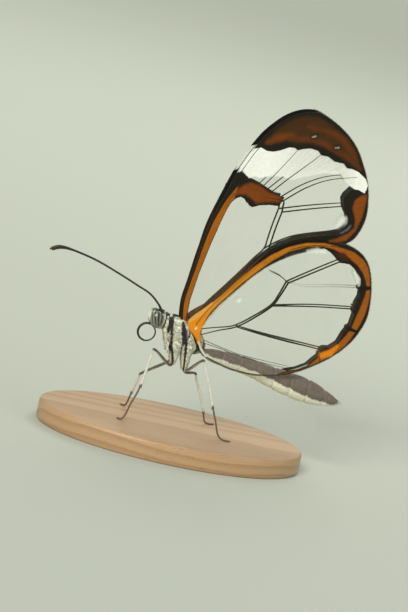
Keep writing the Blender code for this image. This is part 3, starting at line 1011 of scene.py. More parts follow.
        blade = np.array([(0, 1, 4), (0, 4, 3), (1, 2, 5), (1, 5, 4),
                          (2, 0, 3), (2, 3, 5), (0, 2, 1), (3, 4, 5)])
        if (area > 0) == (side is Side.LEFT):
            blade = blade[:, ::-1]
        faces = (blade[None] + len(corners) * np.arange(count)[:, None, None]).reshape(-1, 3)
        points = points.reshape(-1, 3)
        self.shift(points, side)
        roots = (rim - self.map_origin) / self.map_size
        patch = np.array([(x, z) for z in (-0.5, 0.5) for x in (-0.5, 0.5, 0.0)])
        spots = (roots[:, None] + patch[None] * PATCH).reshape(-1, 2)
        draft.add(points, faces, 0, spots, ring=self.fringe_paleness, tip=0.0)

    def build(self) -> None:
        """Makes the pieces of both sides."""
        self.plan()
        looks = [*map(self.finish.make, Face), VeinFinish(self.kind + "_veins").make()]
        dark = HornFinish(self.kind + "_fringe_scales", dark=seen(40, 32, 20), ring=seen(170, 168, 150),
                          roughness=0.6).make()
        slot = self.kind + "_membrane"
        for side in Side:
            node = side.node(self.kind)
            draft = Draft()
            self.sheet(draft, side)
            self.rods(draft, side, len(Face))
            draft.build(node + "_membrane", looks, slot, node)
            edge = Draft()
            self.fringe(edge, side)
            edge.build(node + "_fringe", [dark], slot)


INK: Display = (20, 17, 9)
INK_TOO: Display = (32, 27, 17)
SLATE: Display = (20, 17, 15)

FOREWING_LAYERS = (
    Layer("haze", -0.4, 0.3, (244, 248, 236), (244, 248, 236), (226, 230, 220), cover=0.5),
    Layer("white", -0.08, 0.12, (253, 254, 246), (246, 248, 234), (244, 246, 236), 0.07, 0.4, limit="milk"),
    Layer("scaled", -0.03, 0.05, INK, INK_TOO, SLATE),
    Layer("tinted_ash", -0.1, 0.2, (118, 102, 76), (88, 76, 56), (74, 64, 48), 0.1, 0.3),
    Layer("tip", -0.1, 0.5, (88, 54, 10), (50, 30, 7), (34, 27, 22), 0.22, 0.35),
    Layer("glow", -0.5, 0.3, (134, 70, 6), (104, 48, 4), (48, 30, 20), 0.2, 0.4),
    Layer("red_streaks", -0.45, 0.25, (118, 60, 6), (82, 38, 5), (46, 30, 22), 0.22, 0.55),
    Layer("border", -0.1, 0.26, (156, 84, 10), (116, 56, 5), (52, 34, 24), 0.12, 0.25),
    Layer("stripe", -0.03, 0.08, (184, 108, 12), (150, 80, 8), (54, 34, 22), 0.05, 0.1),
    Layer("bar", -0.12, 0.42, (150, 78, 5), (108, 50, 4), (48, 30, 20), 0.18, 0.3),
    Layer("glint", -0.12, 0.08, (106, 110, 112), (70, 74, 76), (52, 54, 56), 0.06),
    Layer("dots", -0.5, 0.15, INK, INK_TOO, SLATE, 0.1),
    Layer("dots", -0.1, 0.07, (160, 160, 152), (130, 130, 122), (150, 152, 150)),
)

HINDWING_LAYERS = (
    Layer("haze", -0.25, 0.2, (246, 250, 238), (246, 250, 238), (246, 250, 238), 0.04, cover=0.5),
    Layer("faint", -0.05, 0.03, (96, 80, 50), (96, 80, 50), (70, 60, 44), 0.02, cover=0.4),
    Layer("scaled", -0.03, 0.05, INK, INK_TOO, SLATE),
    Layer("band", -0.12, 0.16, (196, 124, 16), (168, 96, 12), (66, 40, 24)),
    Layer("gold", -0.15, 0.2, (216, 146, 30), (200, 128, 22), (70, 44, 26), 0.05, 0.5),
    Layer("border", -0.08, 0.16, (176, 100, 14), (138, 72, 8), (64, 40, 26), 0.06, 0.15),
    Layer("dusk", -0.2, 0.2, (70, 32, 8), (54, 26, 8), (44, 28, 20), 0.08),
    Layer("bright", -0.25, 0.15, (226, 138, 26), (206, 118, 18), (80, 50, 28), 0.06),
    Layer("crossings", -0.06, 0.05, INK, INK, SLATE),
    Layer("root", -0.12, 0.12, (232, 146, 14), (214, 128, 14), (120, 70, 30), 0.08),
    Layer("cream", -0.16, 0.16, (236, 200, 124), (214, 156, 56), (120, 90, 60), 0.12, 0.75),
    Layer("lining", -0.04, 0.06, (224, 208, 160), (200, 180, 128), (150, 140, 110), 0.03, cover=0.8),
    Layer("knot", -0.1, 0.04, (236, 226, 200), (226, 214, 180), (150, 120, 90), 0.04),
    Layer("fold", -0.06, 0.06, (226, 226, 204), (206, 204, 180), (190, 188, 168)),
    Layer("low_line", -0.05, 0.03, (60, 54, 40), (84, 78, 60), (60, 54, 44), 0.02, cover=0.9),
)


@dataclass
class Forewing(Wing):
    """The forewing: clear cells, orange and black edges, a white band and a brown tip."""

    kind: str = "forewing"
    outline: Outline = (
        (-2.0, 14.1), (-2.36, 15.4), (-2.56, 17.3), (-2.4, 19.2), (-2.14, 21.5), (-1.98, 24.0),
        (-1.72, 26.6), (-1.1, 29.5), (-0.1, 33.3), (0.55, 35.1), (1.25, 36.7), (2.1, 38.35), (3.0, 39.6),
        (4.2, 40.9), (5.5, 41.8), (6.8, 42.28), (8.0, 42.3), (9.7, 41.7), (11.35, 40.8), (12.8, 39.6),
        (13.95, 38.1), (15.4, 35.4), (16.15, 32.1), (15.75, 29.6), (14.6, 28.1), (11.25, 26.6),
        (8.55, 25.3), (5.65, 23.0), (3.15, 19.8), (1.05, 16.9), (-0.45, 14.9), (-0.75, 14.0))
    veins: tuple[Stroke, ...] = (
        ((-2.0, 14.6, .12), (-2.24, 15.6, .11), (-2.46, 17.4, .10), (-2.3, 19.4, .09), (-1.9, 24.0, .085),
         (-1.0, 29.5, .08), (-0.05, 33.2, .05), (0.35, 34.4, .03), (1.3, 36.6, .035), (3.1, 39.5, .06),
         (5.6, 41.7, .055), (6.9, 42.1, .04)),
        ((-0.6, 31.5, .07), (0.1, 32.9, .065), (0.7, 34.4, .05), (1.45, 36.2, .05), (2.4, 37.9, .06)),
        ((-0.9, 14.9, .11), (0.55, 17.5, .10), (2.0, 19.6, .10), (3.5, 21.8, .10), (4.75, 23.7, .10),
         (5.7, 25.1, .10), (5.85, 26.4, .095), (5.98, 28.0, .095), (6.25, 30.1, .095)),
        ((5.7, 25.1, .10), (7.1, 26.3, .09), (8.8, 27.35, .085), (11.45, 28.35, .08), (14.9, 29.4, .05)),
        ((6.25, 30.1, .09), (9.8, 31.3, .08), (13.2, 32.3, .06), (14.2, 32.5, .03)),
        ((6.05, 31.4, .08), (8.35, 33.5, .07), (10.85, 35.0, .05), (14.0, 36.0, .04)),
        ((4.35, 32.0, .07), (6.05, 34.1, .06), (8.65, 37.1, .045), (10.6, 39.6, .035)),
        ((3.2, 32.4, .06), (4.6, 34.6, .05), (6.3, 37.6, .04), (8.0, 40.6, .03)),
        ((6.25, 30.1, .10), (6.2, 30.8, .10), (6.05, 31.4, .09), (4.3, 31.4, .06), (2.0, 30.9, .05)),
    )
    finish: WingFinish = WingFinish("forewing", FOREWING_LAYERS)
    sheet_middle: float = 0.85
    fan_centre: Flat = (2.6, 29.9)
    fan_scale: float = 10.0
    pane: Outline = (
        (-1.62, 15.2), (-1.76, 17.6), (-1.48, 21.0), (-0.98, 24.6), (-0.45, 27.6), (-0.1, 29.1),
        (0.2, 30.0), (0.7, 30.6), (1.1, 30.8), (1.8, 30.6), (2.3, 30.0), (2.7, 29.9), (3.5, 30.3),
        (4.6, 30.6), (5.7, 30.7), (6.0, 31.3), (6.1, 31.9), (5.2, 31.9), (4.2, 32.3), (3.1, 32.7),
        (1.5, 33.1), (0.55, 33.75), (-0.2, 33.3), (-0.6, 33.4), (0.3, 36.9), (1.2, 36.6), (2.0, 36.95),
        (2.8, 36.7), (3.6, 36.8), (4.3, 37.1), (5.3, 37.7), (5.9, 37.75), (6.3, 37.55), (7.0, 37.9),
        (7.8, 38.1), (8.7, 38.0), (9.1, 37.6), (10.0, 37.6), (10.9, 37.2), (12.0, 37.2), (12.5, 36.75),
        (13.1, 36.8), (14.0, 36.6), (15.0, 36.0), (15.45, 35.3), (15.3, 34.35), (14.5, 34.6),
        (13.8, 34.5), (13.2, 33.6), (13.05, 33.0), (13.4, 32.0), (14.0, 31.2), (14.3, 30.5), (14.1, 29.8),
        (13.6, 29.2), (12.2, 28.65), (10.7, 28.1), (8.8, 27.3), (7.1, 26.2), (5.9, 25.0), (4.6, 23.4),
        (3.3, 21.4), (1.9, 19.4), (0.6, 17.5), (-0.6, 15.4))
    white: Outline = (
        (-0.8, 33.3), (-0.1, 33.5), (0.6, 33.85), (1.5, 33.15), (2.1, 33.5), (2.7, 33.4), (3.8, 33.9),
        (5.4, 34.2), (6.4, 34.0), (7.7, 34.6), (9.9, 35.6), (12.0, 35.9), (12.6, 35.2), (13.4, 34.8),
        (14.4, 34.4), (15.5, 34.2), (15.8, 35.2), (15.2, 36.4), (14.0, 36.8), (12.0, 37.4), (10.0, 37.9),
        (8.7, 38.3), (7.0, 38.4), (5.3, 38.0), (3.5, 37.1), (1.5, 37.2), (0.5, 37.3), (0.0, 36.6),
        (-0.5, 35.4))
    bar: Outline = (
        (-0.6, 29.0), (-0.35, 30.4), (0.35, 31.7), (1.2, 32.5), (1.9, 32.85), (3.0, 32.7), (4.2, 32.2),
        (5.7, 31.9), (6.1, 31.6), (5.8, 31.05), (4.3, 30.75), (3.0, 30.3), (2.4, 30.7), (1.5, 31.05),
        (0.7, 30.85), (0.05, 30.2), (-0.3, 28.9))
    tip: Outline = (
        (3.6, 40.3), (5.0, 41.3), (6.3, 41.9), (7.8, 42.1), (9.6, 41.5), (11.2, 40.6), (12.6, 39.3),
        (13.8, 37.9), (14.6, 36.7), (13.7, 36.95), (12.3, 37.5), (10.6, 38.0), (9.1, 38.5), (7.8, 38.7),
        (6.2, 38.2), (4.5, 38.1), (2.9, 37.35), (2.1, 37.5), (2.9, 39.1))
    glow: Stroke = ((2.6, 37.7, 0.1), (3.7, 38.5, 0.35), (5.2, 39.2, 0.1))
    red_streaks: tuple[Stroke, ...] = (
        ((5.0, 38.7, 0.1), (7.1, 39.1, 0.2), (9.0, 39.0, 0.2), (10.5, 38.6, 0.2), (11.8, 38.2, 0.2),
         (13.2, 37.5, 0.15), (14.1, 37.0, 0.05)),
        ((7.0, 40.5, 0.05), (10.0, 40.4, 0.2), (11.4, 39.9, 0.3), (12.5, 38.9, 0.25), (13.5, 37.8, 0.1)),
    )
    glint: Stroke = ((13.7, 29.15, 0.06), (14.35, 29.7, 0.12), (14.65, 30.3, 0.05))
    stripe_top: float = 32.2
    # z and distance from the margin, and x and density of the white scales
    stripe_inset: Outline = ((16, 0.05), (22, 0.10), (27, 0.22), (30, 0.42), (32, 0.85))
    milk: Outline = (
        (-1, 1), (3.2, 1), (4.6, 0.92), (6.5, 0.7), (9.0, 0.56), (11.6, 0.48), (13.0, 0.76), (14.0, 1))
    dots: tuple[Stroke, ...] = (
        ((7.6, 39.45, 0.07), (7.95, 39.62, 0.10)), ((10.55, 38.8, 0.07), (10.95, 38.92, 0.10)))
    border: Outline = (
        (15.7, 34.4), (14.9, 34.0), (14.3, 33.3), (14.25, 32.3), (14.9, 31.1), (15.05, 30.1),
        (14.5, 29.35), (13.4, 28.55), (12.4, 28.0), (12.6, 27.7), (13.6, 27.9), (14.6, 28.4),
        (15.4, 29.7), (15.8, 31.5), (15.8, 33.4))
    haze: Stroke = ((13.2, 29.9, 0.1), (13.6, 30.6, 0.35), (13.9, 31.0, 0.1))
    ash: Stroke = (
        (-1.2, 15.3, 0.5), (1.1, 18.5, 0.55), (3.0, 21.3, 0.5), (4.2, 23.2, 0.35), (5.0, 24.4, 0.1))

    def depth(self, flat: Array) -> Array:
        """Distance of the sheet's middle from the middle plane, at flat places."""
        x, z = flat[:, 0], flat[:, 1]
        bow = 0.06 * np.sin(step(x, -2.0, 16.0) * math.pi)
        return self.sheet_middle + wing_lean(x, z) + bow

    def fields(self, flat: Array, rim: Array) -> dict[str, Array]:
        """The named distances that its markings follow, as Wing.fields says."""
        x, z = flat.T
        pane = depth_inside(flat, self.pane)
        costal = np.minimum(1.5 - np.abs(x + 1.4 - (z - 24) * 0.05), self.stripe_top - z)
        inset = np.interp(z, *np.transpose(self.stripe_inset))
        fan_x, fan_z = x - self.fan_centre[0], z - self.fan_centre[1]
        return {
            "scaled": -pane,
            "white": depth_inside(flat, self.white),
            "milk": np.interp(x, *np.transpose(self.milk)),
            "stripe": np.minimum(np.minimum(rim - inset, -pane - 0.06), costal),
            "bar": depth_inside(flat, self.bar),
            "tip": np.minimum(depth_inside(flat, self.tip), rim - 0.22),
            "glow": banded(flat, [self.glow]),
            "red_streaks": banded(flat, self.red_streaks),
            "dots": banded(flat, self.dots),
            "border": np.minimum(depth_inside(flat, self.border), rim - 0.1),
            "haze": banded(flat, [self.haze]),
            "tinted_ash": np.minimum(banded(flat, [self.ash]), -pane),
            "glint": banded(flat, [self.glint]),
            "fan": np.arctan2(fan_z, fan_x) * self.fan_scale,
            "reach": np.hypot(fan_x, fan_z),
        }

    def redness(self, flat: Array) -> Array:
        """How reddish a vein is at flat places."""
        x, z = flat.T
        return 0.95 * (x > -0.95) * step(-z, -25.5, -22.5) + 0.15 * step(x, 7.0, 9.0)


@dataclass
class Hindwing(Wing):
    """The hindwing: clear cells, a golden leading band and an orange-brown border."""

    kind: str = "hindwing"
    outline: Outline = (
        (-0.98, 14.15), (-1.5, 14.95), (-1.15, 15.8), (0.45, 17.6), (2.45, 20.3), (4.75, 23.6),
        (7.35, 25.9), (10.2, 27.35), (13.85, 27.95), (16.3, 27.5), (17.85, 26.1), (18.8, 23.6),
        (19.2, 20.7), (18.9, 18.8), (17.9, 16.6), (16.0, 14.4), (13.45, 12.5), (11.25, 11.35),
        (9.45, 10.8), (7.25, 10.5), (4.85, 10.6), (3.15, 10.95), (1.35, 11.5), (0.35, 12.3),
        (-0.35, 13.3))
    veins: tuple[Stroke, ...] = (
        ((-0.5, 15.0, .12), (0.55, 17.1, .11), (2.65, 20.15, .10), (4.95, 23.35, .09), (7.5, 25.55, .08),
         (10.3, 26.95, .07), (13.8, 27.55, .06), (15.9, 27.2, .04)),
        ((0.3, 13.95, .06), (2.3, 14.85, .07), (4.25, 15.7, .085), (6.1, 17.2, .10), (7.85, 19.0, .11),
         (8.5, 20.5, .11), (9.0, 22.1, .11)),
        ((9.0, 22.1, .07), (7.9, 22.7, .05), (6.6, 23.0, .035)),
        ((9.0, 22.1, .10), (11.8, 24.1, .09), (14.55, 26.0, .08), (15.9, 26.8, .05)),
        ((7.85, 19.0, .10), (12.6, 20.0, .08), (17.2, 20.7, .08), (18.2, 20.9, .05)),
        ((4.25, 15.7, .07), (7.4, 15.45, .10), (10.55, 15.3, .11), (12.6, 15.25, .09), (14.75, 15.2, .08),
         (16.0, 15.5, .04)),
        ((0.45, 13.1, .04), (3.1, 12.75, .04), (6.05, 12.3, .035), (11.75, 12.1, .025)),
    )
    finish: WingFinish = WingFinish("hindwing", HINDWING_LAYERS)
    sheet_middle: float = 1.28
    right_shift: Flat = (0.34, -0.30)
    leading_end: Flat = (13.8, 28.0)
    dish_centre: Flat = (8.2, 19.4)
    dish: float = 0.3
    fan_centre: Flat = (2.0, 15.0)
    fan_scale: float = 12.0
    pane: Outline = (
        (0.75, 12.0), (0.36, 12.98), (0.2, 14.1), (0.3, 14.9), (0.8, 16.2), (1.9, 18.2), (3.5, 20.5),
        (4.5, 21.9), (5.6, 23.0), (6.6, 24.2), (7.7, 25.2), (8.8, 26.0), (10.0, 26.65), (11.2, 27.05),
        (12.3, 27.0), (13.3, 26.6), (13.9, 26.2), (14.4, 25.75), (14.9, 25.8), (15.7, 25.8), (16.7, 25.2),
        (17.3, 24.4), (17.6, 23.5), (17.7, 22.3), (17.45, 21.4), (17.5, 20.9), (17.3, 20.5), (17.6, 20.1),
        (17.5, 18.8), (16.95, 17.7), (16.5, 16.3), (15.8, 15.6), (15.0, 15.45), (14.75, 15.1),
        (14.8, 14.5), (14.3, 13.9), (13.6, 12.95), (12.5, 12.25), (11.5, 11.88), (10.9, 11.55),
        (10.4, 11.2), (10.1, 10.8), (9.8, 9.6), (4.8, 9.4), (2.9, 9.8), (1.0, 10.8))
    root: Outline = (
        (-1.9, 14.6), (-1.7, 16.2), (-0.6, 16.9), (0.3, 17.75), (0.9, 18.0), (0.75, 16.6), (0.3, 14.9),
        (0.2, 14.1), (0.5, 13.3), (0.55, 12.7), (0.2, 12.8), (-0.05, 13.3), (-0.6, 13.85), (-1.2, 14.2))
    band: Stroke = (
        (0.15, 16.1, 0.34), (1.5, 18.35, 0.30), (3.25, 20.95, 0.33), (4.9, 23.0, 0.36),
        (6.35, 24.65, 0.34), (7.95, 26.0, 0.30), (10.0, 27.0, 0.24), (12.0, 27.45, 0.2),
        (13.6, 27.4, 0.2))
    border: Stroke = (
        (12.9, 27.45, 0.16), (14.3, 27.2, 0.36), (15.6, 26.9, 0.50), (16.8, 26.3, 0.50),
        (17.75, 25.4, 0.46), (18.3, 24.35, 0.38), (18.55, 23.6, 0.30), (18.6, 22.6, 0.32),
        (18.55, 21.4, 0.42), (18.42, 20.3, 0.46), (18.2, 19.15, 0.44), (18.0, 18.3, 0.36),
        (17.55, 17.2, 0.38), (16.9, 16.0, 0.44), (16.05, 14.95, 0.46), (15.1, 14.1, 0.44),
        (14.1, 13.25, 0.34), (13.0, 12.45, 0.27), (11.9, 11.88, 0.22), (11.2, 11.55, 0.16),
        (10.6, 11.32, 0.06))
    crossings: tuple[Stroke, ...] = (
        ((17.7, 23.3, 0.34), (18.9, 23.65, 0.18)), ((17.4, 18.3, 0.24), (18.7, 18.1, 0.12)),
        ((14.7, 14.6, 0.04), (15.0, 13.7, 0.05)), ((17.4, 21.0, 0.10), (18.0, 20.9, 0.04)))
    bright: Stroke = ((15.0, 14.5, 0.3), (15.9, 15.0, 0.35), (16.6, 16.0, 0.1))
    dusk: Stroke = ((13.6, 26.75, 0.12), (14.6, 26.6, 0.4), (15.3, 26.35, 0.18))
    hazes: tuple[Stroke, ...] = (
        ((10.3, 26.3, 0.08), (11.4, 26.65, 0.22), (12.3, 26.6, 0.08)),
        ((16.4, 25.0, 0.05), (17.1, 24.3, 0.2), (17.3, 23.6, 0.05)),
        ((3.75, 18.8, 0.15), (3.85, 18.85, 0.15)))
    gold: Stroke = ((0.1, 15.9, 0.2), (1.6, 18.4, 0.22), (3.3, 20.9, 0.24), (5.4, 23.5, 0.15))
    cream: Stroke = (
        (-1.35, 15.2, 0.14), (-0.75, 15.85, 0.26), (0.3, 16.95, 0.3), (1.5, 18.5, 0.16),
        (2.6, 19.9, 0.02))
    lining: Stroke = (
        (0.4, 14.9, 0.03), (0.92, 16.12, 0.06), (2.02, 18.1, 0.06), (3.62, 20.4, 0.06),
        (4.62, 21.8, 0.05), (5.75, 22.95, 0.03))
    knot: Stroke = ((-0.44, 14.52, 0.09), (-0.32, 14.64, 0.07))
    fold: Stroke = ((0.25, 13.1, .09), (0.75, 12.3, .12), (1.45, 11.6, .11), (1.9, 11.2, .05))
    faint: tuple[Stroke, ...] = (
        ((8.9, 22.1, 0.03), (11.1, 22.1, 0.02), (14.2, 22.8, 0.03), (17.6, 23.4, 0.05)),)

    def depth(self, flat: Array) -> Array:
        """Distance of the sheet's middle from the middle plane, at flat places."""
        x, z = flat[:, 0], flat[:, 1]
        away = np.hypot(x - self.dish_centre[0], z - self.dish_centre[1]) / 2.2
        shoulder = 0.27 * np.exp(-(x**2 + (z - 13.6) ** 2) / (2 * 1.1**2))
        return self.sheet_middle + wing_lean(x, z) - self.dish * np.exp(-away * away / 2) + shoulder

    def fields(self, flat: Array, rim: Array) -> dict[str, Array]:
        """The named distances that its markings follow, as Wing.fields says."""
        x, z = flat.T
        pane = depth_inside(flat, self.pane)
        fan_x, fan_z = x - self.fan_centre[0], z - self.fan_centre[1]
        strokes = {
            "band": [self.band], "gold": [self.gold], "cream": [self.cream], "lining": [self.lining],
            "knot": [self.knot], "fold": [self.fold], "bright": [self.bright], "dusk": [self.dusk],
            "haze": self.hazes, "crossings": self.crossings, "faint": self.faint,
        }
        return {name: banded(flat, lines) for name, lines in strokes.items()} | {
            "scaled": -pane,
            "root": depth_inside(flat, self.root),
            "border": np.minimum(banded(flat, [self.border]), np.minimum(rim - 0.10, -pane - 0.10)),
            "low_line": np.where((x < 11.0) & (z < 13.2) & (x > 1.6), 0.12 - rim, -FAR),
            "fan": np.arctan2(fan_z, fan_x) * self.fan_scale,
            "reach": np.hypot(fan_x, fan_z),
        }

    def redness(self, flat: Array) -> Array:
        """How reddish a vein is at flat places."""
        x, z = flat.T
        root = step(-x, -3.5, -1.0)
        low_end = 0.8 * step(x, 11.5, 14.0) * (z < 16)
        cross_vein = 0.9 * ((z > 22.3) & (x < 9.0) & (x > 6.0))
        return np.maximum(np.maximum(root, low_end), cross_vein)

    def gilding(self, flat: Array) -> Array:
        """How golden a vein is at flat places."""
        x, z = flat.T
        return step(z - 1.35 * x, 14.6, 15.2) * step(-x, -12.5, -9.0)


ABDOMEN_START = 1.65
ABDOMEN_END = 19.0
ABDOMEN_RINGS = 8


def ring_part(x: Array | float) -> Array | float:
    """How far along its ring of the abdomen a place lies, from 0 to 1."""
    return (x - ABDOMEN_START) / (ABDOMEN_END - ABDOMEN_START) * ABDOMEN_RINGS % 1.0


@dataclass(frozen=True)
class Markings:
    """Where the stripes, pale crescents and grey back lie, for skin and coat alike."""

    head_end: float = -4.45
    face_start: float = -5.45
    waist: float = 1.5
    crown_top: float = 15.65
    saddle_depth: float = 0.42
    stripes: tuple[Stroke, ...] = (
        ((-3.52, 15.1, .34), (-3.45, 13.89, .25), (-3.40, 13.31, .11)),
        ((-3.25, 14.9, .22), (-3.17, 14.18, .15), (-2.73, 12.28, .13), (-2.11, 10.12, .13),
         (-2.05, 9.4, .12)),
        ((-2.0, 14.9, .15), (-1.86, 14.47, .22), (-1.56, 13.72, .42), (-1.42, 12.70, .22)),
        ((-1.52, 12.51, .10), (-1.44, 11.47, .07), (-1.42, 10.8, .03)),
        ((-1.28, 13.4, .2), (-1.13, 12.83, .16), (-0.91, 11.47, .14), (-0.61, 9.66, .12), (-0.5, 9.0, .11)),
        ((-1.04, 14.28, .08), (-0.96, 13.48, .11)),
        ((-0.24, 13.40, .07), (0.2, 12.7, .1), (0.39, 12.06, .20), (0.11, 11.30, .11), (-0.1, 10.4, .04)),
        ((-2.5, 13.1, .02), (-1.9, 12.6, .035), (-1.5, 12.4, .02)),
    )
    crescents: tuple[Stroke, ...] = (
        ((-4.3, 15.5, .12), (-4.18, 14.9, .15), (-4.24, 14.2, .15), (-4.35, 13.6, .14)),
        ((-3.78, 15.1, .12), (-3.73, 14.21, .15), (-3.84, 13.60, .17), (-3.9, 13.2, .2)),
        ((-3.51, 15.22, .12), (-3.45, 15.3, .1)),
        ((-2.6, 14.9, .10), (-2.55, 14.6, .12)),
    )
    nape: Outline = (
        (-4.7, 16.2), (-4.6, 15.0), (-4.5, 13.9), (-4.1, 13.5), (-3.6, 13.6), (-3.3, 14.6), (-3.2, 16.2))
    back_line: Outline = (
        (0.8, 11.75), (1.8, 11.55), (4.0, 11.3), (7.8, 10.8), (10.0, 10.3), (12.3, 9.68), (14.8, 9.06),
        (17.3, 8.74), (19.2, 8.6))
    orange_root: Stroke = ((-1.25, 15.0, .22), (-0.7, 14.5, .25), (-0.2, 13.8, .22), (0.3, 13.0, .12))
    tops: Outline = (
        (-5.5, 15.3), (-4.6, 15.75), (-4.0, 15.3), (-3.2, 15.45), (-2.4, 15.4), (-1.4, 15.25),
        (-0.4, 14.9), (0.4, 14.2), (1.0, 13.4), (1.35, 12.8))
    # a painted highlight: where a grey-blue sheen is laid as colour on the black stripe
    painted_highlight_fleck: Stroke = ((-1.39, 14.23, .04), (-1.2, 13.68, .1), (-1.25, 13.4, .03))

    def black(self, flat: Array, y: Array) -> Array:
        """How far places lie within the black of the stripes, nape, back and crown.

        Args:
            flat: (x, z) rows.
            y: their distances from the middle plane.

        Returns:
            One distance a place, below zero outside the black.
        """
        x, z = flat.T
        ink = np.maximum(banded(flat, self.stripes), depth_inside(flat, self.nape))
        below_top = np.interp(x, *np.transpose(self.tops)) - z
        saddle = self.saddle_depth - below_top - 0.15 * np.abs(y)
        pale_line = 0.1 - np.abs(np.abs(y) - 0.42 - 0.1 * np.sin(x * 1.7))
        back = np.where(pale_line > 0, -pale_line, saddle)
        ink = np.where((x > -3.4) & (x < 1.6), np.maximum(ink, back), ink)
        crescents = banded(flat, self.crescents)
        ink = np.where(crescents > -0.04, np.minimum(ink, -crescents), ink)
        crown = 0.42 - (self.crown_top - z) - 0.2 * np.abs(np.abs(y) - 0.35)
        crown = np.where(x < self.face_start, 0.25 - np.abs(z - 15.75), crown)
        ink = np.where(x < self.head_end, np.maximum(-1.0, crown), ink)
        return np.where(x > self.waist, -1.0, ink)

    def grey_back(self, flat: Array) -> Array:
        """How far places lie within the abdomen's grey back, above its scalloped edge.

        Args:
            flat: (x, z) rows.

        Returns:
            One distance a place.
        """
        x, z = flat.T
        ring = ring_part(x)
        scallop = 0.07 * np.sin(ring * math.pi) ** 2 + 0.06 * np.sin(x * 9.1) * np.sin(x * 3.7 + 1.0)
        above = z - np.interp(x, *np.transpose(self.back_line))
        grey = np.where(x > 0.9, above + scallop - 0.04, -1.0)
        return grey - 0.08 * step(ring, 0.84, 1.0) * step(x, 1.9, 2.4) - 0.7 * step(x, 18.1, 18.9)

    def shading(self, flat: Array, grey: Array) -> Array:
        """How shaded places are: on the grey back, in the joints below it and round the face.

        Args:
            flat: (x, z) rows.
            grey: how far they lie within the grey back.

        Returns:
            One share a place.
        """
        x, z = flat.T
        back = 0.55 * step(-grey, -0.6, -0.05)
        back = back + 0.35 * np.sin(x * 5.3 + z * 4.0) ** 2 * step(-x, -7.0, -2.5)
        joints = 0.16 + 0.6 * step(ring_part(x), 0.9, 0.98)
        shade = step(x, 1.9, 2.4) * np.where(grey > 0, back, joints)
        return np.where(x < -5.5, 0.25 + 0.6 * step(np.abs(z - 14.85), 0.35, 0.9), shade)

    def fields(self, points: Array) -> dict[str, Array]:
        """The named distances of the markings at body places.

        Args:
            points: (x, y, z) rows.

        Returns:
            Arrays named ink, grey, orange and blue (a painted highlight), above zero within each, and shade
            from 0 to 1.
        """
        aside = np.abs(points[:, 1])
        flat = points[:, [0, 2]]
        grey = self.grey_back(flat)
        return {
            "ink": self.black(flat, points[:, 1]),
            "grey": grey,
            "orange": np.where(aside > 0.7, banded(flat, [self.orange_root]), -1.0),
            # blue: a painted highlight on the black thorax stripe
            "blue": np.where(aside > 0.5, banded(flat, [self.painted_highlight_fleck]), -1.0),
            "shade": self.shading(flat, grey),
        }


